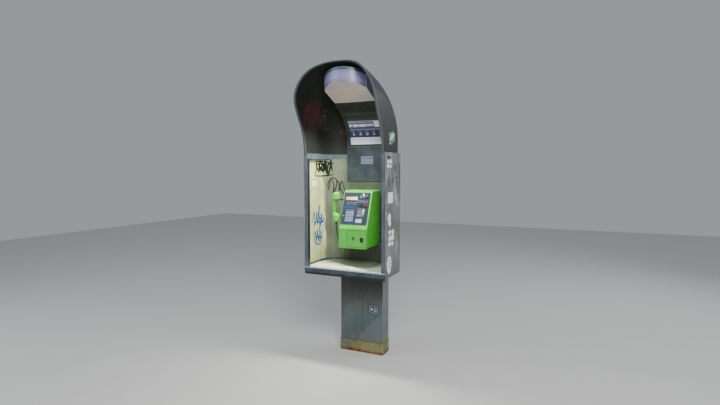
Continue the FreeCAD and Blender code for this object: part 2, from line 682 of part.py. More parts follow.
def make_phone_door():
    door = Piece("phone_door", PHONE_FRAME)
    door.pad(door.rectangle("XZ_Plane", "door_left", "door_low", "door_right", "door_high",
                            "-door_thick"), "door_thick")
    door.pocket(door.circles("XZ_Plane", [("lock_x", "lock_z")], "lock_radius+0.1", "1"),
                "door_thick+2")
    door.pocket(door.rectangle("XZ_Plane", "flap_left-1", "flap_low-1", "flap_right+1", "flap_high+1",
                               "1"), "door_thick+2")
    door.pocket(door.circles("XY_Plane", [("door_left+pin_inset", "door_thick/2")], "pin_radius+0.06"))

    pin = doc.addObject("Part::Cylinder", "door_hinge_pin")
    pin.Label = "door_hinge_pin"
    pin.setExpression("Radius", bound("pin_radius"))
    pin.setExpression("Height", bound("door_high-door_low+12"))
    place(pin, ("phone_shift+door_left+pin_inset", f"{FRONT}+phone_setback+door_thick/2",
                "post_height+phone_low+door_low-6"))
    sub_parts.append(pin)

    lock = Piece("door_lock", PHONE_FRAME)
    centre = [("lock_x", "lock_z")]
    lock.pad(lock.circles("XZ_Plane", centre, "lock_radius", "-14"), "15.5")
    lock.pad(lock.rectangle("XZ_Plane", "lock_x-4", "lock_z-4", "lock_x+4", "lock_z+22", "-14"), "2.5")
    lock.pocket(lock.rectangle("XZ_Plane", "lock_x-0.8", "lock_z-3.5", "lock_x+0.8", "lock_z+3.5",
                               "2"), "4")

    cup = Piece("coin_cup", PHONE_FRAME)
    cup.pad(cup.rectangle("XZ_Plane", "cup_left", "cup_low", "cup_right", "cup_high",
                          "-door_thick-cup_deep"), "cup_deep")
    cup.pocket(cup.rectangle("XZ_Plane", "cup_left+2", "cup_low+2", "cup_right-2", "cup_high-2",
                             "-door_thick"), "cup_deep-2")

    flap = Piece("coin_flap", PHONE_FRAME)
    flap.pad(flap.rectangle("XZ_Plane", "flap_left", "flap_low", "flap_right", "flap_high",
                            "-door_thick"), "flap_thick")
    flap.fillet("0.9", lambda a, b: min(a.z, b.z) > size("flap_high") - 0.1 and abs(a.x - b.x) > 5)


def make_phone_inside():
    """What the case holds: coin box, coin mechanism, circuit board and card reader."""
    box = Piece("coin_box", PHONE_FRAME)
    box.pad(box.rectangle("XY_Plane", "-70", "62", "96", "190", "phone_wall"), "105")
    box.pocket(box.rectangle("XY_Plane", "-68", "64", "94", "188", "phone_wall+2"), "110", back=True)

    chute = Piece("coin_mechanism", PHONE_FRAME)
    chute.pad(chute.outline("YZ_Plane", [
        ("124", "385"), ("112", "352"), ("156", "310"), ("156", "130"), ("phone_depth", "130"),
        ("phone_depth", "385"),
    ], "40"), "45")
    chute.pocket(chute.rectangle("YZ_Plane", "166", "145", "236", "370", "44"), "37", back=True)

    board = Piece("circuit_board", FACE_FRAME, lean=True)
    board.pad(board.rectangle("XZ_Plane", "-94", "18", "94", "236", "-board_back-board_thick"),
              "board_thick")
    feet = [(x, z) for x in ("-90", "90") for z in ("24", "200")]
    board.pad(board.circles("XZ_Plane", feet, "3", "-board_back-0.6"), "board_back+0.6")
    board.pocket(board.circles("XZ_Plane", [("coin_x", "coin_z")], "coin_neck+1.3", "-10"), "10")
    board.pocket(board.rectangle("XZ_Plane", "card_left+2.5", "card_low+2.5", "card_right-2.5",
                                 "card_high-2.5", "-10"), "10")

    reader = Piece("card_reader", FACE_FRAME, lean=True)
    reader.pad(reader.rectangle("XZ_Plane", "card_left+2", "card_low", "card_right-2", "card_high",
                                "-85"), "69")
    reader.pocket(card_gap(reader, "-14"), "65")


def card_gap(piece, offset):
    """The card slot's outline on the face."""
    middle = "(card_low+card_high)/2"
    return piece.rectangle("XZ_Plane", "card_left+7", f"{middle}-card_slot/2", "card_right-7",
                           f"{middle}+card_slot/2", offset)


def make_phone_face():
    """The faceplate and what is on it, in the frame that leans back with the face."""
    plate = Piece("faceplate", FACE_FRAME, lean=True)
    plate.pad(plate.rectangle("XZ_Plane", "-face_width/2", "face_start", "face_width/2", "face_end",
                              "0"), "face_thick")
    plate.fillet("5", lambda a, b: abs(a.y - b.y) > 1 and abs(a.x - b.x) < 0.1)

    def through(sketch):
        plate.pocket(sketch, "face_thick+4", middle=True)

    play = "key_play"
    for column in (-1, 0, 1):
        for line in range(4):
            x = f"key_middle_x+({column})*key_pitch_x"
            z = f"key_low+{line}*key_pitch_z"
            through(plate.rectangle("XZ_Plane", f"{x}-key_wide/2-{play}", f"{z}-key_high/2-{play}",
                                    f"{x}+key_wide/2+{play}", f"{z}+key_high/2+{play}", "1"))
    through(plate.rectangle("XZ_Plane", "-88", "192", "6", "218", "1"))
    coin, alarm_at = [("coin_x", "coin_z")], [("alarm_x", "alarm_z")]
    card_neck = "card_left+3", "card_low+3", "card_right-3", "card_high-3"
    through(plate.circles("XZ_Plane", coin, "coin_neck", "1"))
    through(plate.circles("XZ_Plane", alarm_at, "alarm_radius+0.5", "1"))
    through(plate.rectangle("XZ_Plane", "lever_left-0.6", "lever_low-lever_fall-0.6",
                            "lever_right+0.6", "lever_high+0.6", "1"))
    through(plate.rectangle("XZ_Plane", *card_neck, "1"))

    names = ("star", "7", "4", "1", "0", "8", "5", "2", "hash", "9", "6", "3")
    for index, name in enumerate(names):
        column, line = index // 4 - 1, index % 4
        x = f"key_middle_x+({column})*key_pitch_x"
        z = f"key_low+{line}*key_pitch_z"
        key = Piece(f"key_{name}", FACE_FRAME, lean=True)
        key.pad(key.rectangle("XZ_Plane", f"{x}-key_wide/2", f"{z}-key_high/2", f"{x}+key_wide/2",
                              f"{z}+key_high/2", "-6"), "6+face_thick+key_proud")
        key.fillet("1.5", lambda a, b: abs(a.y - b.y) > 5)

    window = Piece("display_window", FACE_FRAME, lean=True)
    window.pad(window.rectangle("XZ_Plane", "-88", "192", "6", "218", "0"), "face_thick-0.5")

    bezel = Piece("coin_slot_bezel", FACE_FRAME, lean=True)
    bezel.pad(bezel.circles("XZ_Plane", coin, "coin_neck", "-4"), "face_thick+4")
    bezel.pad(bezel.circles("XZ_Plane", coin, "coin_ring", "face_thick"), "3")
    bezel.pocket(bezel.rectangle("XZ_Plane", "coin_x-coin_slot/2", "coin_z-13", "coin_x+coin_slot/2",
                                 "coin_z+13", "-6"), "20", back=True)

    card = Piece("card_slot_bezel", FACE_FRAME, lean=True)
    card.pad(card.rectangle("XZ_Plane", *card_neck, "-16"), "face_thick+16")
    card.pad(card.rectangle("XZ_Plane", "card_left", "card_low", "card_right", "card_high",
                            "face_thick"), "5")
    card.pocket(card_gap(card, "-17"), "30", back=True)

    lever = Piece("coin_lever", FACE_FRAME, lean=True)
    lever.pad(lever.rectangle("XZ_Plane", "lever_left", "lever_low", "lever_right", "lever_high", "-5"),
              "face_thick+10")
    lever.fillet("4", lambda a, b: abs(a.y - b.y) > 5)

    alarm = Piece("emergency_button", FACE_FRAME, lean=True)
    alarm.pad(alarm.circles("XZ_Plane", alarm_at, "alarm_radius", "-6"), "6+face_thick+4")


# ---------------------------------------------------------------- handset, hook and cord


def make_handset():
    set_piece = Piece("handset", PHONE_FRAME)
    profile = [
        ("grip_x", "set_low+14"), ("grip_x+8", "set_low"), ("ear_x", "set_low"),
        ("ear_x", "set_low+ear_size"), ("grip_x+grip_thick+6", "set_low+ear_size"),
        ("grip_x+grip_thick", "set_low+ear_size+14"),
        ("grip_x+grip_thick", "set_high-ear_size-14"),
        ("grip_x+grip_thick+6", "set_high-ear_size"), ("ear_x", "set_high-ear_size"),
        ("ear_x", "set_high"), ("grip_x+8", "set_high"), ("grip_x", "set_high-14"),
    ]
    set_piece.pad(set_piece.outline("XZ_Plane", profile, "-set_y"), "ear_size", middle=True)
    for side in ("-1", "1"):
        set_piece.pocket(set_piece.rectangle(
            "YZ_Plane", f"set_y+({side})*grip_wide/2", "set_low+ear_size", f"set_y+({side})*60",
            "set_high-ear_size", "grip_x-5"), "grip_thick+20", back=True)
    limit = size("ear_size") / 2
    set_piece.fillet("8", lambda a, b: abs(abs(a.y - size("set_y")) - limit) < 0.1
                     and abs(abs(b.y - size("set_y")) - limit) < 0.1 and abs(a.y - b.y) < 0.1
                     and min(a.x, b.x) < size("ear_x") - 1)

    rest = Piece("handset_rest", PHONE_FRAME)
    rest.pad(rest.rectangle("YZ_Plane", "set_y+12", "set_low+10", "set_y+45", "set_low+48",
                            "ear_x+0.4"), "-phone_width/2-ear_x-0.4")

    hook = Piece("hook_lever", PHONE_FRAME)
    hook.pad(hook.circles("YZ_Plane", [("hook_y", "hook_z")], "6", "-phone_width/2-28"), "60")
    arm_top, arm_low = "hook_z+hook_thick-0.5", "hook_z-0.5"
    hook.pad(hook.outline("YZ_Plane", [
        ("hook_y+5", "hook_z-4"), ("hook_y+5", arm_top), ("set_y-ear_size/2", arm_top),
        ("set_y-ear_size/2", arm_low), ("hook_y-34", arm_low), ("hook_y-20", "hook_z-4"),
    ], "-phone_width/2-50"), "42")
    hook.pocket(hook.rectangle("XY_Plane", "grip_x-20", "set_y-grip_wide/2-3.5",
                               "grip_x+grip_thick+7.5", "set_y+grip_wide/2+1.5", "hook_z-20"), "40",
                back=True)


CORD_DIAMETER = 7
# The cord's route in the phone frame, from under the handset round to the gland on the phone's side.
CORD_ROUTE = (
    (-150, 35, 185.9), (-150, 35, 158), (-148, 40, 124), (-145, 46, 88), (-142, 52, 54),
    (-140, 64, 27), (-138, 87, 12), (-137, 114, 11), (-136, 138, 25), (-135, 151, 49),
    (-134, 155, 82), (-133, 155, 116), (-133, 155, 149.9),
)
# The part of a run that the arc at its end takes up.
ARC_SHARE = 0.45


def rounded_path(points):
    """A wire of straight runs joined by tangent arcs, and the arcs' radii."""
    edges, radii = [], []
    here = points[0]
    for before, corner, after in zip(points, points[1:], points[2:]):
        back, ahead = (before - corner), (after - corner)
        cut = ARC_SHARE * min(back.Length, ahead.Length)
        turn = math.pi - back.getAngle(ahead)
        start, end = corner + back.normalize() * cut, corner + ahead.normalize() * cut
        radius = cut / math.tan(turn / 2)
        towards = ((start + end) * 0.5 - corner).normalize()
        middle = corner + towards * (radius / math.cos(turn / 2) - radius)
        edges.append(Part.LineSegment(here, start).toShape())
        edges.append(Part.Arc(start, middle, end).toShape())
        radii.append(radius)
        here = end
    edges.append(Part.LineSegment(here, points[-1]).toShape())
    return Part.Wire(edges), radii


def make_cord():
    origin = frame_origin("phone")
    path, radii = rounded_path([origin + Vector(*point) for point in CORD_ROUTE])
    start, heading = path.Vertexes[0].Point, path.Edges[0].tangentAt(0)
    section = Part.Wire([Part.makeCircle(CORD_DIAMETER / 2, start, heading)])
    tube = path.makePipeShell([section], True, False)
    exact = math.pi * CORD_DIAMETER ** 2 / 4 * path.Length
    print(f"cord {path.Length:.0f} mm, volume share {tube.Volume / exact:.4f}, radii",
          " ".join(f"{radius:.0f}" for radius in radii))
    plain("handset_cord", tube)

    gland = Piece("cord_gland", PHONE_FRAME)
    gland.pad(gland.rectangle("XY_Plane", "-phone_width/2-30", "141", "-phone_width/2", "169", "150"),
              "26")
    gland.fillet("6", upright(side=size("phone_width") / 2 + 30))


def check_and_write():
    """Stop on any failed object or bad shape, then write one STEP file for each sub-part."""
    doc.recompute()
    for item in doc.Objects:
        if "Invalid" in item.State or "Error" in item.State:
            raise RuntimeError(f"{item.Label}: {item.State}")
    for item in sub_parts:
        shape = item.Shape
        if shape.isNull() or not shape.isValid() or shape.Volume <= 0:
            raise RuntimeError(f"{item.Label} has a bad shape")
    os.makedirs("parts", exist_ok=True)
    for item in sub_parts:
        item.Shape.exportStep(f"parts/{item.Label}.step")
    print(len(sub_parts), "sub-parts")


make_column()
make_bolts()
make_cabinet()
make_spine()
make_lamp()
make_hood()
make_phone_window(make_phone_case())
make_phone_door()
make_phone_inside()
make_phone_face()
make_handset()
make_cord()
check_and_write()
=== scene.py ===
"""Looks of the pedestal telephone booth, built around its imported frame. Metres, in the frame's own axes."""

import math
import random

import bmesh
import bpy
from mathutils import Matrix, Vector
from mathutils.bvhtree import BVHTree


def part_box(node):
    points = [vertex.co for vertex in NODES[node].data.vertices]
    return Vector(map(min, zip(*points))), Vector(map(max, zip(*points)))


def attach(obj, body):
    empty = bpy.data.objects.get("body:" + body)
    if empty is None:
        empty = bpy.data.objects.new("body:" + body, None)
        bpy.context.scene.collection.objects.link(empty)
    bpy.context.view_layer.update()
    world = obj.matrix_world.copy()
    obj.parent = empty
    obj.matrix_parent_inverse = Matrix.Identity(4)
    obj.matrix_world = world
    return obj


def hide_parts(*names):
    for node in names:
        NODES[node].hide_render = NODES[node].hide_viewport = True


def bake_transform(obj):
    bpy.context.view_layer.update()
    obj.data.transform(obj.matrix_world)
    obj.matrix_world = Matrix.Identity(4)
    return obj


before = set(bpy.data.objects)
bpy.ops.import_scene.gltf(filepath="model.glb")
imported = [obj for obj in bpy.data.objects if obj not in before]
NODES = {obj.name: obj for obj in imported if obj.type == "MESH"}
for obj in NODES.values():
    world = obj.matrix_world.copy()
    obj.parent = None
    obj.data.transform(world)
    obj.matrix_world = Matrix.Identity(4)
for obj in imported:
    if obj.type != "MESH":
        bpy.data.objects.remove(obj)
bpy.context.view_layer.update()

MM = 0.001
cabinet_low, cabinet_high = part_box("outer_skin")
housing_low, housing_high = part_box("phone_housing")
CABINET = Vector(((cabinet_low.x + cabinet_high.x) / 2, cabinet_low.y, cabinet_low.z))
PHONE = Vector(((housing_low.x + housing_high.x) / 2, housing_low.y, housing_low.z))
# Sizes and places are in millimetres, and times MM or through cab() and phone() they become metres.
# The phone and the spine stand SHIFT to the right of the cabinet's middle.
SHIFT = (PHONE.x - CABINET.x) / MM
# The phone's face starts this far back and up from the housing's front lower edge, and leans back from there.
FACE_FOOT_Y, FACE_FOOT_Z = 14, 170
TILT = math.atan(91 / 244)
PLATE_PROUD = 2.5


def cab(x, y, z):
    """A point given in millimetres from the middle of the cabinet's front lower edge."""
    return CABINET + Vector((x, y, z)) * MM


def phone(x, y, z):
    """A point given in millimetres from the middle of the phone's front lower edge."""
    return PHONE + Vector((x, y, z)) * MM


def face(x, y, z):
    """A point on the phone's leaning face: y goes into it and z up along it."""
    back = y * math.cos(TILT) + z * math.sin(TILT)
    up = z * math.cos(TILT) - y * math.sin(TILT)
    return phone(x, FACE_FOOT_Y + back, FACE_FOOT_Z + up)


# ---- surfaces that thin pieces lie on

# Half widths, depths, heights and corner radii, from the middle of the cabinet's front lower edge. A line cast
# from HOOD_CAST_Y finds the hood's inner side, and turns by one radian for each HOOD_TURN along it.
LINER_HALF, LINER_BACK, LINER_RADIUS = 313, 374, 147
SKIN_HALF, SKIN_FLAT, SKIN_RADIUS = 322, 258, 150
HOOD_HALF, HOOD_CAST_Y, HOOD_TURN = 308, 200, 300
POST_FRONT = 308
SPINE_RADIUS, SPINE_THICK, BEND_START = 344, 4, 923
SPINE_FRONT = (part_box("spine_panel")[1].y - CABINET.y) / MM - SPINE_THICK
LAMP_RADIUS, LAMP_CENTRE_Y = 186.4, 105.4
LAMP_FOLD_Y, LAMP_FOLD_Z, LAMP_FOLD_RISE = 164, 1244, 0.437
LAMP_TOP_Z, LAMP_TOP_RADIUS = 1450, 445


def on_face(x, z, lift):
    return face(x, -PLATE_PROUD - lift, z)


def on_liner(s, z, lift):
    """The liner's inner side; s runs from its front left edge round the rear corner."""
    flat = LINER_BACK - LINER_RADIUS
    if s <= flat:
        return cab(lift - LINER_HALF, s, z)
    turn = min((s - flat) / LINER_RADIUS, math.pi / 2)
    along = max(0, s - flat - LINER_RADIUS * math.pi / 2)
    reach = LINER_RADIUS - lift
    return cab(LINER_RADIUS - LINER_HALF - reach * math.cos(turn) + along, flat + reach * math.sin(turn), z)


def on_skin(s, z, lift):
    """The skin's right outer side and its rear corner."""
    if s <= SKIN_FLAT:
        return cab(SKIN_HALF + lift, s, z)
    turn = (s - SKIN_FLAT) / SKIN_RADIUS
    reach = SKIN_RADIUS + lift
    return cab(SKIN_HALF - SKIN_RADIUS + reach * math.cos(turn), SKIN_FLAT + reach * math.sin(turn), z)


def on_hood_outside(y, z, lift):
    return cab(HOOD_HALF + lift, y, z)


def on_spine(x, d, lift):
    """The spine's front; d runs up it from where its bend starts."""
    if d < 0:
        return cab(SHIFT + x, SPINE_FRONT - lift, BEND_START + d)
    turn, reach = d / SPINE_RADIUS, SPINE_RADIUS - lift
    y = SPINE_FRONT - SPINE_RADIUS + reach * math.cos(turn)
    return cab(SHIFT + x, y, BEND_START + reach * math.sin(turn))


def on_post(x, z, lift):
    return cab(x, POST_FRONT - lift, z)


def on_door(x, z, lift):
    return phone(x, -lift, z)


def lamp_fold(y):
    """The height of the diffuser's sloping underside."""
    return LAMP_FOLD_Z + LAMP_FOLD_RISE * (LAMP_FOLD_Y - y)


def on_lamp_wall(angle, height, lift):
    """The diffuser's bowed front; angle in degrees from the middle, height above its lower fold."""
    turn = math.radians(angle)
    y = LAMP_CENTRE_Y - (LAMP_RADIUS + lift) * math.cos(turn)
    return cab(SHIFT + (LAMP_RADIUS + lift) * math.sin(turn), y, lamp_fold(y) + height)


def on_lamp_top(angle, drop, lift):
    """The diffuser's bowed front, from its arched top edge down."""
    reach = (LAMP_RADIUS + lift) * math.sin(math.radians(angle))
    y = LAMP_CENTRE_Y - (LAMP_RADIUS + lift) * math.cos(math.radians(angle))
    sag = LAMP_TOP_RADIUS - math.sqrt(LAMP_TOP_RADIUS ** 2 - reach ** 2)
    return cab(SHIFT + reach, y, LAMP_TOP_Z - sag - drop)


def on_lamp_floor(x, y, lift):
    return cab(SHIFT + x, y, lamp_fold(y) - lift)


def cast(tree, origin, heading, lift):
    """The place where a line from origin first meets a CAD surface, lifted off it."""
    place, normal, _, _ = tree.ray_cast(origin, heading)
    if normal.dot(heading) > 0:
        normal = -normal
    return place + normal * lift * MM


hood_mesh = NODES["hood_left"].data
hood_tree = BVHTree.FromPolygons([v.co for v in hood_mesh.vertices],
                                 [tuple(p.vertices) for p in hood_mesh.polygons])


def on_hood_inside(along, z, lift):
    """The hood's left inner side; along runs back round it from beside the middle of the cabinet."""
    turn, clear = along / HOOD_TURN, 0.2
    heading = Vector((-math.cos(turn), math.sin(turn), 0))
    return cast(hood_tree, cab(0, HOOD_CAST_Y, z), heading, lift + clear)


# ---- materials


def srgb(red, green, blue):
    """A colour given as screen values from 0 to 255."""
    values = (v / 255 for v in (red, green, blue))
    return (*(v / 12.92 if v < 0.04 else ((v + 0.055) / 1.055) ** 2.4 for v in values), 1)


def tinted(colour, share, more=0.0):
    """A colour scaled and raised, held at white."""
    return (*(min(1, share * c + more) for c in colour[:3]), 1)


class Finish:
    """A material made of nodes."""

    def __init__(self, name, roughness=0.5, **sockets):
        self.material = bpy.data.materials.new(name)
        self.material.use_nodes = True
        self.tree = self.material.node_tree
        self.shader = self.tree.nodes["Principled BSDF"]
        self.shader.inputs["Roughness"].default_value = roughness
        for socket, value in sockets.items():
            self.shader.inputs[socket.replace("_", " ")].default_value = value
        coordinates = self.new("ShaderNodeTexCoord")
        self.place, self.normal = coordinates.outputs["Object"], coordinates.outputs["Normal"]
        self.x, self.y, self.z = self.split(self.place)

    def new(self, kind):
        return self.tree.nodes.new(kind)

    def put(self, socket, value):
        if isinstance(value, bpy.types.NodeSocket):
            self.tree.links.new(value, socket)
        else:
            socket.default_value = value

    def split(self, vector):
        node = self.new("ShaderNodeSeparateXYZ")
        self.put(node.inputs[0], vector)
        return node.outputs[0], node.outputs[1], node.outputs[2]

    def noise(self, scale, detail=5, rough=0.6, stretch=(1, 1, 1)):
        """Cloudy noise from 0 to 1; a stretch below 1 draws it out along that axis."""
        mapping = self.new("ShaderNodeMapping")
        self.put(mapping.inputs["Vector"], self.place)
        mapping.inputs["Scale"].default_value = stretch
        node = self.new("ShaderNodeTexNoise")
        self.put(node.inputs["Vector"], mapping.outputs[0])
        node.inputs["Scale"].default_value = scale
        node.inputs["Detail"].default_value = detail
        node.inputs["Roughness"].default_value = rough
        return node.outputs["Fac"]

    def calc(self, operation, a, b=0.0):
        """One arithmetic step on two values, each a number or a socket."""
        node = self.new("ShaderNodeMath")
        node.operation = operation
        self.put(node.inputs[0], a)
        self.put(node.inputs[1], b)
        return node.outputs[0]

    def times(self, a, b):
        return self.calc("MULTIPLY", a, b)

    def plus(self, a, b):
        return self.calc("ADD", a, b)

    def between(self, value, low, high, out_low=0.0, out_high=1.0):
        """The value spread from one range to another, held at its ends."""
        node = self.new("ShaderNodeMapRange")
        node.interpolation_type = "SMOOTHSTEP"
        self.put(node.inputs["Value"], value)
        ends = {"From Min": low, "From Max": high, "To Min": out_low, "To Max": out_high}
        for name, number in ends.items():
            node.inputs[name].default_value = number
        return node.outputs["Result"]

    def spots(self, noise, *span):
        """Noise, given by noise()'s own arguments, spread by between()'s."""
        return self.between(self.noise(*noise), *span)

    def mix(self, share, a, b):
        """Colour a with colour b over it by a share from 0 to 1."""
        node = self.new("ShaderNodeMix")
        node.data_type = "RGBA"
        self.put(node.inputs["Factor"], share)
        self.put(node.inputs[6], a)
        self.put(node.inputs[7], b)
        return node.outputs[2]

    def colour(self, value):
        self.put(self.shader.inputs["Base Color"], value)

    def rough(self, value):
        self.put(self.shader.inputs["Roughness"], value)

    def glow(self, value, strength):
        self.put(self.shader.inputs["Emission Color"], value)
        self.shader.inputs["Emission Strength"].default_value = strength

    def bump(self, height, strength=0.2, distance=0.001):
        node = self.new("ShaderNodeBump")
        node.inputs["Strength"].default_value = strength
        node.inputs["Distance"].default_value = distance
        self.put(node.inputs["Height"], height)
        self.put(self.shader.inputs["Normal"], node.outputs[0])


def paint(name, base, stain, pale=None, blotch=7.0, streaks=0.5, chips=0.0, roughness=(0.32, 0.6), extra=None,
          **sockets):
    """Weathered paint: cloudy colour, streaks that run down, small chips, and uneven gloss.

    Colours are screen values; extra(f, tone) adds marks of its own."""
    base, stain = srgb(*base), srgb(*stain)
    pale = srgb(*pale) if pale else tinted(base, 1.3)
    f = Finish(name, **sockets)
    cloud = f.noise(blotch, 7, 0.62)
    fine = f.noise(90, 4, 0.6)
    tone = f.mix(f.between(cloud, 0.35, 0.72), base, pale)
    run = f.noise(16, 6, 0.6, (3, 3, 0.16))
    mask = f.times(f.between(run, 0.48, 0.72), streaks)
    tone = f.mix(mask, tone, stain)
    if extra:
        tone = extra(f, tone)
    if chips:
        spots = f.spots((38, 8, 0.72), 0.62, 0.66)
        tone = f.mix(f.times(spots, chips), tone, stain)
    tone = f.mix(f.between(fine, 0.3, 0.8, 0.0, 0.22), tone, tinted(stain, 0.6))
    f.colour(tone)
    f.rough(f.between(cloud, 0.3, 0.7, *roughness))
    f.bump(f.plus(fine, f.times(cloud, 0.6)), 0.25, 0.0006)
    return f.material


def dress(material, *names):
    for name in names:
        slots = NODES[name].data.materials
        slots.clear()
        slots.append(material)


def column_marks(f, tone):
    """Painted shadow on the front towards the top, under the cabinet, and the sides painted lighter as lit
    faces; blue-grey lower down, yellow stains, then rust at the foot.
    """
    wave = f.spots((9, 6, 0.65), 0.2, 0.8, -0.05, 0.05)
    height = f.plus(f.z, wave)
    # Painted light: the sides, told by their normal, are made lighter as lit faces.
    side = f.between(f.calc("ABSOLUTE", f.split(f.normal)[0]), 0.4, 0.6)
    tone = f.mix(f.times(side, 0.6), tone, srgb(136, 150, 142))
    front = f.calc("SUBTRACT", 1.0, side)
    tone = f.mix(f.between(height, 0.22, 0.50), f.mix(0.5, tone, srgb(66, 78, 88)), tone)
    # Painted shadow: the front darkens towards the top, under the cabinet.
    tone = f.mix(f.times(f.between(height, 0.30, 0.60, 0.0, 0.9), front), tone, srgb(26, 28, 26))
    slant = f.calc("SUBTRACT", f.x, f.times(f.z, 0.9))
    patch_mask = f.times(f.between(slant, -0.135, -0.125, 0.0, 0.4), f.between(f.z, 0.28, 0.34, 1.0, 0.0))
    tone = f.mix(patch_mask, tone, srgb(98, 112, 118))
    olive = f.times(f.spots((11, 6, 0.7), 0.38, 0.58), f.between(height, 0.075, 0.15, 0.85, 0.0))
    olive = f.times(olive, f.between(f.x, -0.13, -0.04, 0.35, 1.0))
    tone = f.mix(olive, tone, srgb(116, 108, 56))
    low = f.between(height, 0.0, 0.05, 0.9, 0.0)
    rust = f.times(f.spots((20, 8, 0.7), 0.25, 0.5), low)
    tone = f.mix(rust, tone, srgb(124, 64, 22))
    return f.mix(f.between(height, -0.02, 0.02, 0.85, 0.0), tone, srgb(46, 26, 12))


def sleeve_marks(f, tone):
    """Grey paint left on the sleeve's upper left, a dark top edge, and rust at the ground."""
    wave = f.spots((14, 7, 0.7), 0.2, 0.8, -0.02, 0.02)
    left = f.plus(f.plus(f.x, wave), f.times(f.z, -0.8))
    grey = f.times(f.between(left, -0.13, -0.11, 0.75, 0.0), f.between(f.z, 0.03, 0.05))
    tone = f.mix(grey, tone, srgb(86, 96, 98))
    tone = f.mix(f.between(f.z, 0.0885, 0.0905, 0.0, 0.85), tone, srgb(30, 30, 22))
    rust = f.between(f.plus(f.z, wave), 0.012, 0.034, 0.95, 0.0)
    tone = f.mix(rust, tone, srgb(124, 66, 22))
    return f.mix(f.between(f.plus(f.z, wave), 0.0, 0.012, 0.8, 0.0), tone, srgb(46, 26, 12))


def skin_marks(f, tone):
    """Pale scuffs, and brown stains towards the lower rear edge."""
    scuff = f.spots((13, 9, 0.75, (1, 1, 0.35)), 0.56, 0.60)
    tone = f.mix(f.times(scuff, 0.5), tone, srgb(200, 204, 206))
    brown = f.times(f.spots((8, 7, 0.7), 0.45, 0.66), f.between(f.y, -0.30, 0.02, 0.12, 0.75))
    tone = f.mix(brown, tone, srgb(92, 84, 70))
    low = f.times(f.between(f.z, 0.667, 0.80, 0.75, 0.0), f.spots((26, 6, 0.7), 0.35, 0.6))
    return f.mix(low, tone, srgb(86, 78, 62))


def liner_marks(f, tone):
    """Cream at the front, with a painted shadow in grey-green towards the rear corner, and darker towards the
    bottom.
    """
    edge = f.plus(f.y, f.spots((7, 5, 0.6), 0.2, 0.8, -0.035, 0.035))
    shadow_edge = f.plus(edge, f.between(f.z, 0.70, 1.50, -0.02, 0.02))
    # Painted shadow: grey-green past a slanting edge towards the rear corner.
    tone = f.mix(f.between(shadow_edge, -0.100, -0.082, 0.0, 0.85), tone, srgb(112, 120, 98))
    # Darker towards the bottom.
    low_darkening = f.between(f.z, 0.70, 0.86, 0.5, 0.0)
    return f.mix(low_darkening, tone, srgb(120, 116, 82))


def deck_marks(f, tone):
    """Bright cream, with a painted shadow in grey-green on the right, and darker towards the rear along the
    walls.
    """
    wave = f.spots((9, 5, 0.6), 0.2, 0.8, -0.03, 0.03)
    right = f.plus(f.plus(f.x, f.times(f.y, 1.93)), wave)
    # Painted shadow: grey-green past a slanting edge on the right.
    tone = f.mix(f.between(right, -0.47, -0.44, 0.0, 0.92), tone, srgb(92, 106, 96))
    return f.mix(f.between(f.plus(f.y, wave), -0.19, -0.12, 0.0, 0.5), tone, srgb(110, 116, 98))


def rail_marks(f, tone):
    """A painted highlight along the top edge, and a dark navy lower band."""
    low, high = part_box("front_rail")
    # Painted highlight: a pale band along the top edge.
    tone = f.mix(f.between(f.z, high.z - 0.005, high.z - 0.002, 0.0, 0.9), tone, srgb(150, 164, 176))
    return f.mix(f.between(f.z, low.z + 0.014, low.z + 0.018, 0.92, 0.0), tone, srgb(12, 16, 26))


def rear_shade_marks(f, tone):
    """Painted shade, darker still behind the phone."""
    return f.mix(f.between(f.x, -0.22, -0.10, 0.0, 0.7), tone, srgb(34, 36, 36))


column_paint = paint("column_paint", (74, 82, 78), (38, 40, 34), (96, 105, 100), 6, 0.6, 0.35,
                     extra=column_marks)
skin_paint = paint("skin_paint", (108, 114, 114), (60, 58, 52), (146, 152, 152), 9, 0.65, 0.35,
                   extra=skin_marks)
frame_paint = paint("frame_paint", (74, 86, 94), (28, 34, 40), (96, 110, 124), 11, 0.5, 0.2,
                    (0.3, 0.5))
rail_paint = paint("rail_paint", (46, 58, 72), (20, 24, 30), (66, 80, 94), 14, 0.5, 0.25,
                   extra=rail_marks)
lip_paint = paint("lip_paint", (24, 30, 42), (12, 14, 18), None, 14, 0.4, 0.2)
liner_paint = paint("liner_paint", (206, 208, 148), (150, 144, 88), (228, 230, 184), 12, 0.5, 0.5,
                    extra=liner_marks)
# The rear liner's colour is the cream liner paint in painted shade, with more painted shade behind the phone.
liner_dark = paint("liner_dark", (100, 108, 90), (54, 58, 48), None, 8, 0.5, 0.2, extra=rear_shade_marks)
deck_paint = paint("deck_paint", (248, 250, 222), (206, 206, 168), (254, 255, 240), 10, 0.12, 0.1,
                   extra=deck_marks)
spine_paint = paint("spine_paint", (38, 46, 51), (20, 24, 26), (52, 61, 66), 8, 0.6, 0.0,
                    (0.35, 0.5))
steel = paint("zinc", (150, 153, 156), (96, 96, 94), (186, 188, 190), 40, 0.3, 0.0, (0.25, 0.45),
              Metallic=0.9)


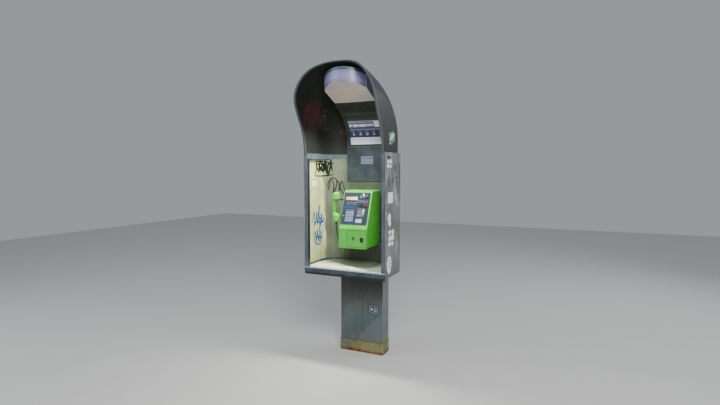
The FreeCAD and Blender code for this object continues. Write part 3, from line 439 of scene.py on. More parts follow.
def hood_finish():
    """Dark slate outside; inside it is nearly black and matt. The side is told by how the surface faces."""
    f = Finish("hood_moulding", Specular_IOR_Level=0.4)
    centre = cab(0, -60, 1000)
    out = f.new("ShaderNodeVectorMath")
    out.operation = "SUBTRACT"
    f.put(out.inputs[0], f.place)
    out.inputs[1].default_value = centre
    dot = f.new("ShaderNodeVectorMath")
    dot.operation = "DOT_PRODUCT"
    f.put(dot.inputs[0], out.outputs[0])
    f.put(dot.inputs[1], f.normal)
    outside = f.between(dot.outputs["Value"], -0.02, 0.02)
    cloud = f.noise(5, 7, 0.6)
    fine = f.noise(120, 4, 0.6)
    runs = f.spots((12, 6, 0.6, (3, 3, 0.2)), 0.45, 0.75, 0.0, 0.35)
    outer = f.mix(f.between(cloud, 0.3, 0.75), srgb(15, 19, 20), srgb(25, 30, 32))
    outer = f.mix(runs, outer, srgb(52, 58, 58))
    inner = f.mix(f.between(cloud, 0.3, 0.75), srgb(12, 13, 11), srgb(21, 23, 19))
    inner = f.mix(f.between(f.z, 1.52, 1.95, 0.45, 0.0), inner, srgb(28, 33, 26))
    tone = f.mix(outside, inner, outer)
    f.colour(f.mix(f.between(fine, 0.45, 0.85, 0.0, 0.25), tone, srgb(20, 24, 24)))
    f.rough(f.calc("SUBTRACT", f.between(cloud, 0.3, 0.7, 0.66, 0.8), f.times(outside, 0.36)))
    f.bump(f.plus(f.times(fine, 0.3), cloud), 0.12, 0.002)
    return f.material


def moulded(name, base, dark, roughness=(0.25, 0.42), grain=260, coat=0.25, dirt=0.35, bump=0.1):
    """Moulded plastic with a fine grain, faint clouding and handling dirt."""
    base, dark = srgb(*base), srgb(*dark)
    f = Finish(name, Coat_Weight=coat, Coat_Roughness=0.2)
    cloud, fine = f.noise(14, 6, 0.6), f.noise(grain, 3, 0.5)
    tone = f.mix(f.between(cloud, 0.4, 0.75, 0.0, 0.5), base, tinted(base, 0.82))
    tone = f.mix(f.spots((22, 7, 0.7, (1, 1, 0.3)), 0.5, 0.72, 0.0, dirt), tone, dark)
    f.colour(tone)
    f.rough(f.between(cloud, 0.3, 0.7, *roughness))
    f.bump(fine, bump, 0.0004)
    return f.material


def print_ink(name, colour, wear=0.25, roughness=0.45):
    """Print or a sticker: one colour with worn and faded spots."""
    colour = srgb(*colour)
    f = Finish(name, roughness)
    worn = f.spots((55, 6, 0.7), 0.52, 0.68, 0.0, wear)
    f.colour(f.mix(worn, colour, tinted(colour, 0.35, 0.12)))
    f.bump(f.noise(180, 3), 0.08, 0.0003)
    return f.material


hood_paint = hood_finish()
trim_finish = moulded("edge_trim", (66, 74, 76), (34, 38, 38), (0.35, 0.5), 180, 0.1)
phone_green = moulded("phone_green", (78, 178, 62), (46, 116, 40), (0.22, 0.38), 300, 0.35, 0.12)
handset_green = moulded("handset_green", (86, 204, 66), (48, 124, 40), (0.2, 0.32), 300, 0.45, 0.1)
door_green = moulded("door_green", (74, 174, 58), (44, 112, 38), (0.26, 0.42), 300, 0.3, 0.15)
black_plastic = moulded("black_plastic", (34, 36, 36), (58, 56, 50), (0.35, 0.55), 220, 0.1)
navy_face = moulded("navy_face", (32, 48, 62), (58, 72, 84), (0.25, 0.4), 400, 0.3, 0.3, 0.05)
cord_black = moulded("cord_black", (30, 31, 32), (58, 58, 56), (0.4, 0.6), 500, 0.05)
tray_white = moulded("tray_white", (214, 216, 220), (150, 150, 146), (0.3, 0.45), 200, 0.2)
board_green = moulded("board_green", (28, 84, 46), (20, 50, 34), (0.3, 0.5), 300, 0.3)
alarm_red = moulded("alarm_red", (128, 26, 24), (70, 18, 16), (0.2, 0.35), 300, 0.5)
key_metal = paint("key_metal", (132, 146, 176), (84, 92, 112), (164, 178, 204), 60, 0.2, 0.0,
                  (0.25, 0.4), Metallic=0.45)
chrome = paint("bezel_metal", (186, 192, 200), (110, 116, 124), (222, 226, 232), 60, 0.2, 0.0,
               (0.15, 0.3), Metallic=0.95)


def diffuser_finish():
    """Milky plastic, cool on its upright front and warmer on the underside that the tube is close to."""
    f = Finish("lamp_diffuser", 0.4, Coat_Weight=0.2)
    facing = f.split(f.normal)[2]
    cloud = f.noise(6, 6, 0.6)
    under = f.mix(f.between(cloud, 0.3, 0.7), srgb(196, 180, 172), srgb(178, 168, 172))
    glow = f.spots((4, 2, 0.4), 0.35, 0.65, 0.0, 0.6)
    under = f.mix(glow, under, srgb(216, 198, 184))
    front = f.mix(f.between(f.z, 2.02, 2.11), srgb(136, 136, 176), srgb(104, 116, 150))
    front = f.mix(f.between(cloud, 0.35, 0.7, 0.0, 0.5), front, srgb(126, 126, 170))
    tone = f.mix(f.between(facing, -0.75, -0.55), under, front)
    specks = f.spots((120, 5, 0.7), 0.62, 0.7, 0.0, 0.25)
    f.colour(f.mix(specks, tone, srgb(140, 136, 130)))
    f.glow(tone, 0.12)
    f.bump(f.noise(240, 3), 0.08, 0.0004)
    return f.material


def display_finish():
    """A lit display behind a worn window: pale orange, brighter in the middle."""
    f = Finish("display_window", 0.2, Coat_Weight=0.8)
    along = f.between(f.x, housing_low.x + 0.03, housing_low.x + 0.12)
    tone = f.mix(along, srgb(238, 150, 96), srgb(252, 214, 170))
    lines = f.spots((60, 3, 0.5, (1, 1, 8)), 0.5, 0.6, 0.0, 0.3)
    tone = f.mix(lines, tone, srgb(214, 110, 60))
    f.colour(tone)
    f.glow(tone, 0.45)
    return f.material


def vent_finish():
    """Olive ribs with one bluish band, and a lighter band above the notice."""
    f = Finish("vent_ribs", 0.35, Coat_Weight=0.3)
    cloud = f.noise(18, 6, 0.6)
    tone = f.mix(f.between(cloud, 0.3, 0.7), srgb(40, 42, 33), srgb(62, 64, 50))
    tone = f.mix(f.between(f.z, 1.785, 1.815, 0.75, 0.0), tone, srgb(96, 98, 66))
    band = f.times(f.between(f.z, 1.822, 1.832), f.between(f.z, 1.838, 1.85, 1.0, 0.0))
    tone = f.mix(band, tone, srgb(66, 74, 76))
    f.colour(f.mix(f.spots((70, 5, 0.7), 0.5, 0.75, 0.0, 0.4), tone, srgb(44, 44, 34)))
    f.bump(f.noise(200, 3), 0.1, 0.0004)
    return f.material


dress(column_paint, "base_plate", "pedestal_column", "access_cover", "column_top_flange")
dress(skin_paint, "outer_skin")
dress(lip_paint, "floor_pan")
dress(rail_paint, "front_rail")
dress(frame_paint, "floor_frame", "stile_left", "stile_right", "top_rail")
dress(liner_paint, "liner_left", "liner_right")
dress(liner_dark, "liner_rear")
dress(deck_paint, "shelf_deck")
dress(spine_paint, "spine_panel")
dress(steel, "booth_bolts", "backbone_channels", "phone_chassis", "door_hinge_pin", "coin_box",
      "coin_mechanism")
dress(hood_paint, "hood_left", "hood_right")
dress(trim_finish, "hood_rim_trim")
dress(tray_white, "lamp_tray", "lamp_tube")
dress(diffuser_finish(), "lamp_diffuser")
dress(phone_green, "phone_housing")
dress(door_green, "phone_door")
dress(navy_face, "faceplate")
dress(display_finish(), "display_window")
dress(chrome, "coin_slot_bezel", "coin_lever")
steel_dark = paint("lock_steel", (84, 90, 88), (50, 52, 50), (112, 118, 116), 60, 0.3, 0.0,
                   (0.3, 0.5), Metallic=0.8)
dress(steel_dark, "door_lock")
dress(black_plastic, "card_slot_bezel", "card_reader", "coin_cup", "coin_flap", "handset_rest", "hook_lever",
      "cord_gland")
dress(board_green, "circuit_board")
dress(alarm_red, "emergency_button")
dress(key_metal, *(name for name in NODES if name.startswith("key_")))

# ---- mesh helpers


def add(name, data):
    """A new object in the scene."""
    item = bpy.data.objects.new(name, data)
    bpy.context.scene.collection.objects.link(item)
    return item


def meshed(name, curve):
    """The mesh that a curve or a text makes."""
    holder = add(name, curve)
    bpy.context.view_layer.update()
    mesh = bpy.data.meshes.new_from_object(holder.evaluated_get(bpy.context.evaluated_depsgraph_get()))
    bpy.data.objects.remove(holder)
    return mesh


def piece(name, points, faces, material, body="booth", slot=None, smooth=False):
    """A mesh piece in place, riding on a body."""
    mesh = bpy.data.meshes.new(name)
    mesh.from_pydata([tuple(p) for p in points], [], faces)
    mesh.materials.append(material)
    work = bmesh.new()
    work.from_mesh(mesh)
    bmesh.ops.recalc_face_normals(work, faces=work.faces)
    work.to_mesh(mesh)
    work.free()
    for polygon in mesh.polygons:
        polygon.use_smooth = smooth
    item = add(name, mesh)
    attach(item, body)
    return item


def grid_piece(name, rows, material, wrap=False, caps=True, **more):
    """A closed solid through rows of points, all of one length; each row is a ring."""
    count = len(rows[0])
    points = [p for row in rows for p in row]
    faces = []
    for r in range(len(rows) - (0 if wrap else 1)):
        a, b = r * count, ((r + 1) % len(rows)) * count
        faces += [(a + i, a + (i + 1) % count, b + (i + 1) % count, b + i) for i in range(count)]
    if caps and not wrap:
        faces += [tuple(range(count)), tuple(range(len(points) - count, len(points)))]
    return piece(name, points, faces, material, **more)


def patch(name, surface, left, low, right, high, material, lift=0.0, thick=0.35, steps=1, **more):
    """A thin rectangle that lies on a surface, in steps along its first direction."""
    rows = []
    for i in range(steps + 1):
        u = left + (right - left) * i / steps
        rows.append([surface(u, low, lift), surface(u, high, lift), surface(u, high, lift + thick),
                     surface(u, low, lift + thick)])
    return grid_piece(name, rows, material, **more)


def band(name, left, low, right, high, material, lift=0.0, thick=0.35, steps=8, **more):
    """A thin rectangle on the spine, in steps up its bend."""
    def turned(d, x, lift_by):
        return on_spine(x, d, lift_by)
    return patch(name, turned, low, left, high, right, material, lift, thick, steps, **more)


def blob(name, surface, centre, radii, material, lift=0.0, thick=0.35, spokes=28, seed=1, rough=0.12, **more):
    """A thin rounded patch with an uneven edge."""
    rng = random.Random(seed)
    wobble = [1 + rng.uniform(-rough, rough) for _ in range(spokes)]
    rows = []
    for share, height in ((0.001, lift), (1, lift), (1, lift + thick), (0.001, lift + thick)):
        ring = []
        for i in range(spokes):
            turn = 2 * math.pi * i / spokes
            reach = share * wobble[i]
            ring.append(surface(centre[0] + radii[0] * reach * math.cos(turn),
                                centre[1] + radii[1] * reach * math.sin(turn), height))
        rows.append(ring)
    return grid_piece(name, rows, material, **more)


def smooth_line(points, steps=6):
    """Points along a curve that passes through the given 2-D points."""
    ends = [points[0], *points, points[-1]]
    line = []
    for a, b, c, d in zip(ends, ends[1:], ends[2:], ends[3:]):
        for i in range(steps):
            t = i / steps
            line.append(tuple(
                0.5 * (2 * q + (r - p) * t + (2 * p - 5 * q + 4 * r - s) * t * t
                       + (3 * q - p - 3 * r + s) * t ** 3)
                for p, q, r, s in zip(a, b, c, d)))
    return line + [tuple(points[-1])]


# A stroke's top rises by this much at each step, so that where it crosses itself one pass is above.
STROKE_CLIMB = 0.004


def stroke(name, surface, points, width, material, lift=0.0, thick=0.3, **more):
    """A pen or spray line on a surface."""
    line = smooth_line(points)
    rows = []
    for i, (u, v) in enumerate(line):
        before, after = line[max(i - 1, 0)], line[min(i + 1, len(line) - 1)]
        du, dv = after[0] - before[0], after[1] - before[1]
        length = math.hypot(du, dv) or 1
        share = i / (len(line) - 1)
        half = width / 2 * (0.45 + 0.55 * math.sin(math.pi * min(1, max(0, share))) ** 0.35)
        nu, nv = -dv / length * half, du / length * half
        top = lift + thick + STROKE_CLIMB * i
        rows.append([surface(u - nu, v - nv, lift), surface(u + nu, v + nv, lift),
                     surface(u + nu, v + nv, top), surface(u - nu, v - nv, top)])
    return grid_piece(name, rows, material, **more)


def scribble(name, surface, left, low, right, high, turns, seed, width, material, **more):
    """An abstract zigzag with loops that fills a box."""
    rng = random.Random(seed)
    pace, tall = (right - left) / turns, high - low
    points = []
    for i in range(turns + 1):
        u, v = left + pace * i, (low, high)[i % 2]
        points.append((u + rng.uniform(-0.35, 0.35) * pace, v + rng.uniform(-0.22, 0.22) * tall))
        if rng.random() < 0.5:
            points.append((u + 0.9 * pace, (low + high) / 2 + rng.uniform(-0.2, 0.2) * tall))
    return stroke(name, surface, points, width, material, **more)


# ---- camera, floor and light

EYE = (1.526, -3.3885, 1.4197)
EYE_DOWN, EYE_LEFT = math.radians(3.906), math.radians(24.81)
camera_data = bpy.data.cameras.new("camera")
camera_data.sensor_width = 36
camera_data.lens = 24.0
camera = add("camera", camera_data)
camera.location = EYE
camera.rotation_euler = (math.pi / 2 - EYE_DOWN, 0, EYE_LEFT)
bpy.context.scene.camera = camera

floor_mesh = bpy.data.meshes.new("floor")
FLOOR_HALF = 9
floor_mesh.from_pydata([(x * FLOOR_HALF, y * FLOOR_HALF, 0) for x, y in ((-1, -1), (1, -1), (1, 1), (-1, 1))],
                       [], [(0, 1, 2, 3)])
floor = add("floor", floor_mesh)
floor_finish = Finish("floor", 0.85)
floor_finish.colour(floor_finish.mix(floor_finish.noise(2.5, 4), srgb(206, 206, 204), srgb(214, 214, 212)))
floor_mesh.materials.append(floor_finish.material)

world = bpy.data.worlds.new("studio")
world.use_nodes = True
background = world.node_tree.nodes["Background"]
background.inputs["Color"].default_value = (0.80, 0.84, 0.90, 1)
background.inputs["Strength"].default_value = 0.42
bpy.context.scene.world = world


def lamp(name, place, aim, size, power, colour, spread=180):
    """A round soft light that the camera doesn't see."""
    data = bpy.data.lights.new(name, "AREA")
    data.shape, data.size, data.energy, data.color = "DISK", size, power, colour
    data.spread = math.radians(spread)
    item = add(name, data)
    item.location = place
    item.rotation_euler = (Vector(aim) - Vector(place)).to_track_quat("-Z", "Y").to_euler()
    item.visible_camera = False


lamp("key", (2.2, -3.8, 3.6), (0, 0, 1.2), 2.0, 205, (1, 0.98, 0.94))
lamp("fill", (-3.6, -3.0, 2.4), (0, 0, 1.2), 3.0, 60, (0.93, 0.96, 1))
lamp("rim", (3.2, 2.6, 3.2), (0, 0, 1.6), 3.4, 60, (0.95, 0.97, 1))
under_lamp = on_lamp_floor(0, 40, 70)
lamp("booth_lamp", under_lamp, under_lamp - Vector((0.06, 0, 1)), 0.2, 9, (0.97, 1, 0.92), 105)

# ---- handset cord

CORD_ROUTE = ((-150, 35, 185.9), (-150, 35, 158), (-148, 40, 124), (-145, 46, 88), (-142, 52, 54),
              (-140, 64, 27), (-138, 87, 12), (-137, 114, 11), (-136, 138, 25), (-135, 151, 49),
              (-134, 155, 82), (-133, 155, 116), (-133, 155, 149.9))
CORD_DIAMETER, CORD_LENGTH = 0.007, 0.371


def spline_points(route):
    """Points read from the NURBS line that has the route as its control points."""
    curve = bpy.data.curves.new("route", "CURVE")
    curve.dimensions = "3D"
    spline = curve.splines.new("NURBS")
    spline.points.add(len(route) - 1)
    for control, place in zip(spline.points, route):
        control.co = (*place, 1)
    spline.order_u = 3
    spline.use_endpoint_u = True
    curve.resolution_u = 12
    return [v.co.copy() for v in meshed("route", curve).vertices]


def tube(name, path, radius_at, material, sides=14, **more):
    """A round tube along a path; radius_at gives its radius from the share of the way along."""
    rows = []
    side = Vector((0, 1, 0))
    for i, point in enumerate(path):
        heading = (path[min(i + 1, len(path) - 1)] - path[max(i - 1, 0)]).normalized()
        side = (side - heading * side.dot(heading)).normalized()
        other = heading.cross(side)
        radius = radius_at(i / (len(path) - 1))
        rows.append([point + (side * math.cos(t) + other * math.sin(t)) * radius
                     for t in (2 * math.pi * k / sides for k in range(sides))])
    return grid_piece(name, rows, material, smooth=True, **more)


cord_path = spline_points([phone(*point) for point in CORD_ROUTE])
cord = tube("cord", cord_path, lambda share: CORD_DIAMETER / 2, cord_black, slot="cord_black")
# The blend carries the cord, so it leaves the body that tube() gave it.
cord.parent = None
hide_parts("handset_cord")
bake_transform(cord)
[tuple(p) for p in reversed(cord_path)]

# ---- round pieces


def lathe(name, origin, axis, profile, material, sides=28, **more):
    """A turned piece: profile gives (radius, height) from its foot to its top. A radius is never quite 0."""
    axis = Vector(axis).normalized()
    side = axis.orthogonal().normalized()
    other = axis.cross(side)
    rows = []
    for radius, height in profile:
        reach = max(radius, 0.02) * MM
        rows.append([origin + axis * height * MM + (side * math.cos(t) + other * math.sin(t)) * reach
                     for t in (2 * math.pi * i / sides for i in range(sides))])
    return grid_piece(name, rows, material, **more)


FACE_OUT = face(0, -1, 0) - face(0, 0, 0)
FACE_UP = (face(0, 0, 1) - face(0, 0, 0)).normalized()
FRONT = Vector((0, -1, 0))


def screw(name, origin, axis, radius, material, **more):
    """A domed screw head with a ring groove round its drive."""
    profile = [(radius, 0), (radius, 0.5), (radius * 0.86, 1.2), (radius * 0.55, 1.6), (radius * 0.5, 1.1),
               (0.05, 1.05)]
    return lathe(name, origin, axis, profile, material, 20, **more)


def frame_bars(name, surface, left, low, right, high, wide, material, lift, thick, **more):
    """A rectangular frame that lies on a surface, as one ring with mitred corners."""
    outer = [(left - wide, low - wide), (right + wide, low - wide), (right + wide, high + wide),
             (left - wide, high + wide)]
    inner = [(left, low), (right, low), (right, high), (left, high)]
    rows = [[surface(*a, lift), surface(*a, lift + thick), surface(*b, lift + thick), surface(*b, lift)]
            for a, b in zip(outer, inner)]
    return grid_piece(name, rows, material, wrap=True, **more)


ink_white = print_ink("ink_white", (254, 255, 255), 0.05)
ink_pale = print_ink("ink_pale", (150, 156, 152), 0.4)
ink_black = print_ink("ink_black", (12, 12, 11), 0.0)
ink_grey = print_ink("ink_grey", (34, 35, 32), 0.15)
ink_blue = print_ink("ink_blue", (16, 84, 152), 0.1)
ink_navy = print_ink("ink_navy", (40, 46, 92), 0.25)
ink_violet = print_ink("ink_violet", (82, 80, 140), 0.25)
ink_header = print_ink("ink_header", (168, 168, 196), 0.2)
ink_block = print_ink("ink_block", (206, 206, 216), 0.2)
ink_steel_blue = print_ink("ink_steel_blue", (104, 122, 158), 0.2)
ink_dim = print_ink("ink_dim", (84, 92, 112), 0.2)
ink_brown = print_ink("ink_brown", (66, 60, 64), 0.3)
ink_red = print_ink("ink_red", (150, 44, 40), 0.3)
ink_dark_red = print_ink("ink_dark_red", (54, 13, 17), 0.3, 0.7)
ink_red_haze = print_ink("ink_red_haze", (38, 15, 17), 0.5, 0.8)
ink_green = print_ink("ink_green", (60, 150, 110), 0.3)
ink_orange = print_ink("ink_orange", (196, 130, 90), 0.3)
ink_seam = print_ink("ink_seam", (92, 104, 108), 0.3)
ink_slate = print_ink("ink_slate", (32, 36, 74), 0.2)
ink_pink = print_ink("ink_pink", (196, 170, 176), 0.4)

# ---- handset


HANDSET_LOW, HANDSET_HIGH, HANDSET_Y, HANDSET_DOME = 186, 410, 35, 16
GRIP_BACK, GRIP_FRONT, GRIP_HALF = -173, -149, 17
# The two ends are this much deeper and wider than the grip, as far as END_FULL from the tip, and then they
# slim down to the grip at END_GONE. BACK_BOW is how far the back curves in towards both tips.
END_DEEPER, END_WIDER, END_FULL, END_GONE, BACK_BOW = 26, 10.5, 51, 73, 7
EAR_LEVEL, MOUTH_LEVEL, CAP_X = 382, 214, -126.5
CAP_PROFILE = [(21, 0), (21, 1.8), (19.5, 2.8), (16, 2.4), (2, 2.2), (0.05, 2.2)]


def ease(value, low, high):
    """From 0 at low to 1 at high, starting and ending gently."""
    t = min(1.0, max(0.0, (value - low) / (high - low)))
    return t * t * (3 - 2 * t)


def handset_ring(z, sides=40):
    """One level section of the handset: a slim grip between two deep, rounded ends."""
    low, high = HANDSET_LOW, HANDSET_HIGH
    deep = max(1 - ease(z, low + END_FULL, low + END_GONE), ease(z, high - END_GONE, high - END_FULL))
    middle, half_long = (low + high) / 2, (high - low) / 2
    away = abs(z - middle) / half_long
    back = GRIP_BACK + BACK_BOW * away ** 4
    front = GRIP_FRONT + END_DEEPER * deep
    half_y = GRIP_HALF + END_WIDER * deep
    end = min(z - low, high - z)
    shrink = 1.0
    if end < HANDSET_DOME:
        shrink = max(0.02, 1 - ((HANDSET_DOME - end) / HANDSET_DOME) ** 2.4) ** 0.42
    centre = (back + front) / 2 + (4 * (1 - shrink) if deep > 0.5 else 0)
    half_x = (front - back) / 2 * shrink
    half_y *= shrink
    ring = []
    for i in range(sides):
        t = 2 * math.pi * i / sides
        c, s = math.cos(t), math.sin(t)
        ring.append(phone(centre + half_x * math.copysign(abs(c) ** 0.72, c),
                          HANDSET_Y + half_y * math.copysign(abs(s) ** 0.72, s), z))
    return ring


dome_steps, grip_steps, tip = 8, 56, 0.02
dome_rise = [HANDSET_DOME * (1 - math.cos(math.pi / 2 * k / dome_steps)) for k in range(1, dome_steps + 1)]
grip_long = HANDSET_HIGH - HANDSET_LOW - 2 * HANDSET_DOME
levels = [HANDSET_LOW + tip] + [HANDSET_LOW + rise for rise in dome_rise]
levels += [HANDSET_LOW + HANDSET_DOME + grip_long * k / grip_steps for k in range(1, grip_steps)]
levels += [HANDSET_HIGH - rise for rise in reversed(dome_rise)] + [HANDSET_HIGH - tip]
handset = grid_piece("handset_shell", [handset_ring(z) for z in levels], handset_green, body="handset",
                     slot="phone_green", smooth=True)
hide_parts("handset")
for label, level in (("ear", EAR_LEVEL), ("mouth", MOUTH_LEVEL)):
    centre = phone(CAP_X, HANDSET_Y, level)
    lathe(f"{label}_cap", centre, (1, 0, 0), CAP_PROFILE, handset_green, 40, body="handset",
          slot="phone_green")
    for k in range(13):
        ring, degrees = (0, 0) if k == 0 else (6, 60 * k) if k < 7 else (12, 60 * k + 30)
        turn = math.radians(degrees)
        spot = centre + Vector((2.25, ring * math.cos(turn), ring * math.sin(turn))) * MM
        lathe(f"{label}_hole_{k}", spot, (1, 0, 0), [(1.5, 0), (1.5, 0.25), (0.05, 0.25)], ink_black, 12,
              body="handset")
seam_rows = []
for z in [204 + 4 * k for k in range(48)]:
    ring = handset_ring(z)
    before, back_point, after = ring[19:22]
    across = (after - before).normalized() * MM
    proud = back_point + Vector((-0.2, 0, 0)) * MM
    seam_rows.append([back_point - across * 0.5, back_point + across * 0.5, proud + across * 0.4,
                      proud - across * 0.4])
grid_piece("handset_seam", seam_rows, ink_grey, body="handset")


def cord_relief(name, x, y, top, rings, wide, narrow, **more):
    """A ribbed, tapered sleeve where the cord comes out, from its top down."""
    def radius(share):
        return (wide - narrow * share) * MM * (1 - 0.07 * (round(share * (rings - 1)) % 2))
    return tube(name, [phone(x, y, top - 2 * k) for k in range(rings)], radius, black_plastic,
                slot="dark_plastic", **more)


cord_relief("cord_relief", -150, HANDSET_Y, 190, 15, 7.8, 3.4, body="handset")
cord_relief("gland_relief", -133, 155, 152, 12, 7.2, 2.8)

# ---- lamp, vent and notice

ribs, vent_low, vent_high = 15, SPINE_RADIUS * math.radians(37), SPINE_RADIUS * math.radians(66.3)
pitch = (vent_high - vent_low) / ribs
vent_line = []
for k in range(ribs):
    start = vent_low + k * pitch
    vent_line += [(start, 1.2), (start + 0.18 * pitch, 1.2), (start + 0.3 * pitch, 4.6),
                  (start + 0.5 * pitch, 6.2), (start + 0.68 * pitch, 4.6), (start + 0.74 * pitch, 1.2)]
vent_line.append((vent_high, 1.2))
VENT_HALF = 159
vent_rows = [[on_spine(-VENT_HALF, d, 0), on_spine(VENT_HALF, d, 0), on_spine(VENT_HALF, d, lift),
              on_spine(-VENT_HALF, d, lift)] for d, lift in vent_line]
vent = grid_piece("vent_ribs", vent_rows, vent_finish(), slot="vent_plastic")
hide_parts("vent_strip")
for side in (-1, 1):
    middle = side * (VENT_HALF + 1)
    band(f"vent_edge_{side + 1}", middle - 2, vent_low, middle + 2, vent_high, black_plastic, 0, 5, 10)

dress(spine_paint, "notice_plate")
NOTICE_LIFT, NOTICE_THICK, NOTICE_LEFT, NOTICE_RIGHT = 2, 0.4, -127, 158
PRINT_LIFT = NOTICE_LIFT + NOTICE_THICK
for name, low, high, material, steps in (
        ("header", 195, 214, ink_header, 8), ("upper", 154, 193, ink_violet, 8),
        ("middle", 82, 153, ink_navy, 12), ("lower", 25, 79, ink_block, 8)):
    band(f"notice_{name}", NOTICE_LEFT, low, NOTICE_RIGHT, high, material, NOTICE_LIFT, NOTICE_THICK, steps)
band("notice_box", 86, 158, 148, 206, ink_white, PRINT_LIFT, 0.3)


def dashes(name, surface, left, right, low, high, material, lift, gap, longest, seed):
    """A row of short strokes in place of lettering."""
    rng = random.Random(seed)
    at, index = left, 0
    while at < right - 3:
        end = at + min(rng.uniform(longest * 0.3, longest), right - at)
        rise = rng.uniform(0, 0.25) * (high - low)
        patch(f"{name}_{index}", surface, at, low + rise, end, high - rise * 0.5, material, lift, 0.3)
        at, index = end + gap, index + 1


dashes("header_mark", on_spine, -120, 80, 200, 209, ink_navy, PRINT_LIFT, 4, 12, 5)
dashes("upper_mark", on_spine, -121, 80, 162, 186, ink_white, PRINT_LIFT, 5, 18, 9)
dashes("middle_mark", on_spine, -121, 150, 136, 146, ink_header, PRINT_LIFT, 3, 9, 11)
for k in range(5):
    x, d = -98 + 56 * k, 108
    blob(f"sign_body_{k}", on_spine, (x, d - 6), (6, 9), ink_header, PRINT_LIFT, 0.3, 16, k, 0.05)
    blob(f"sign_top_{k}", on_spine, (x + 3 * (k % 2), d + 8), (4, 4), ink_header, PRINT_LIFT, 0.3, 16, k,
         0.02)
    patch(f"sign_bar_{k}", on_spine, x + 9, d - 10, x + 15, d - 2 + 4 * (k % 3), ink_header, PRINT_LIFT, 0.3)
    patch(f"sign_rule_{k}", on_spine, x - 16, d + 17, x + 14, d + 19, ink_header, PRINT_LIFT, 0.3)
for k in range(3):
    low = 36 + 12 * k
    dashes(f"lower_mark_{k}", on_spine, -118, 146, low, low + 4, ink_header, PRINT_LIFT, 4, 26, 20 + k)
patch("spine_label", on_spine, -44, -126, 57, -68, ink_dim, 0, 0.4)
dashes("spine_label_mark", on_spine, -36, 50, -88, -80, ink_grey, 0.4, 5, 16, 31)
dashes("spine_label_line", on_spine, -36, 40, -112, -107, ink_grey, 0.4, 4, 20, 33)
for k, (x, d) in enumerate([(x, d) for x in (-150, 150) for d in (-246, -130, -12)]):
    screw(f"spine_screw_{k}", on_spine(x, d, 0), FRONT, 5, spine_paint)

lamp_frame = moulded("lamp_frame", (206, 208, 212), (130, 130, 128), (0.3, 0.45), 200, 0.2)
lamp_top = moulded("lamp_top", (62, 84, 88), (34, 42, 44), (0.3, 0.5), 200, 0.2)
lamp_line = moulded("lamp_line", (78, 78, 100), (60, 60, 76), (0.3, 0.45), 200, 0.1)


LAMP_ARC, ARC_STEPS = 60, 60
patch("lamp_bead_low", on_lamp_wall, -LAMP_ARC, 3, LAMP_ARC, 6, lamp_line, 0, 0.8, ARC_STEPS, slot="diffuser")
patch("lamp_bead_high", on_lamp_wall, -LAMP_ARC, 15, LAMP_ARC, 18, lamp_line, 0, 0.8, ARC_STEPS,
      slot="diffuser")
patch("lamp_top_band", on_lamp_top, -LAMP_ARC, 19, LAMP_ARC, 2, lamp_top, 0, 1.6, ARC_STEPS, slot="diffuser")
patch("lamp_rim_left", on_lamp_floor, -163, 16, -154, 160, lamp_frame, 0, 1.2)
patch("lamp_rim_right", on_lamp_floor, 154, 16, 163, 160, lamp_frame, 0, 1.2)
patch("lamp_rim_rear", on_lamp_floor, -163, 150, 163, 163, lamp_frame, 0, 1.6)
for side, label in ((-1, "left"), (1, "right")):
    outer, inner = side * 60.4, side * 57.2
    rows = [[on_lamp_wall(outer, h, 0), on_lamp_wall(inner, h, 0), on_lamp_wall(inner, h, 1.2),
             on_lamp_wall(outer, h, 1.2)] for h in (0, 30, 60, 104)]
    grid_piece(f"lamp_post_{label}", rows, lamp_frame, slot="diffuser")

# ---- telephone face

frame_bars("display_frame", on_face, -88, 192, 6, 218, 3.2, black_plastic, 0, 1.6)
for k, x in enumerate((-68, -40, -19, 1)):
    lathe(f"indicator_{k}", on_face(x, 171, 0), FACE_OUT,
          [(4.4, 0), (4.4, 0.8), (3.6, 1.1), (3.4, 1.8), (2.2, 2.6), (0.05, 2.9)], ink_steel_blue, 24)
dashes("hint_upper", on_face, 8, 70, 184, 189, ink_steel_blue, 0, 2.5, 9, 41)
dashes("hint_lower", on_face, 8, 64, 174, 179, ink_steel_blue, 0, 2.5, 11, 43)
dashes("row_mark", on_face, -84, 4, 158, 162, ink_steel_blue, 0, 4, 12, 45)
COIN_X, COIN_Z, TICK_RING, TICK_HALF = 44, 222, 21, 1.2
for k in range(10):
    turn = math.radians(36 * k)
    x, z = COIN_X + TICK_RING * math.cos(turn), COIN_Z + TICK_RING * math.sin(turn)
    patch(f"coin_tick_{k}", on_face, x - TICK_HALF, z - TICK_HALF, x + TICK_HALF, z + TICK_HALF,
          ink_steel_blue, 0, 0.3)
lathe("coin_ring", on_face(COIN_X, COIN_Z, 3), FACE_OUT,
      [(16.6, 0), (16.6, 0.8), (15, 1.6), (12.6, 1.4), (12.4, 0.02)], chrome, 40)
patch("coin_plate", on_face, 35, 219.6, 40.6, 224.4, ink_grey, 3, 0.3)
patch("coin_plate_right", on_face, 47.4, 219.6, 53, 224.4, ink_grey, 3, 0.3)
frame_bars("lever_frame", on_face, 70.8, 206.8, 91.2, 237.2, 2, black_plastic, 0, 1.2)
for k in range(3):
    patch(f"lever_grip_{k}", on_face, 75, 221 + 4.5 * k, 87, 222.6 + 4.5 * k, ink_grey, 7.5, 0.4,
          body="coin_lever")
lathe("alarm_ring", on_face(82, 178, 0), FACE_OUT,
      [(10.5, 0), (10.5, 1), (9.6, 1.6), (8.2, 1.6), (7.8, 0.02)], chrome, 32)
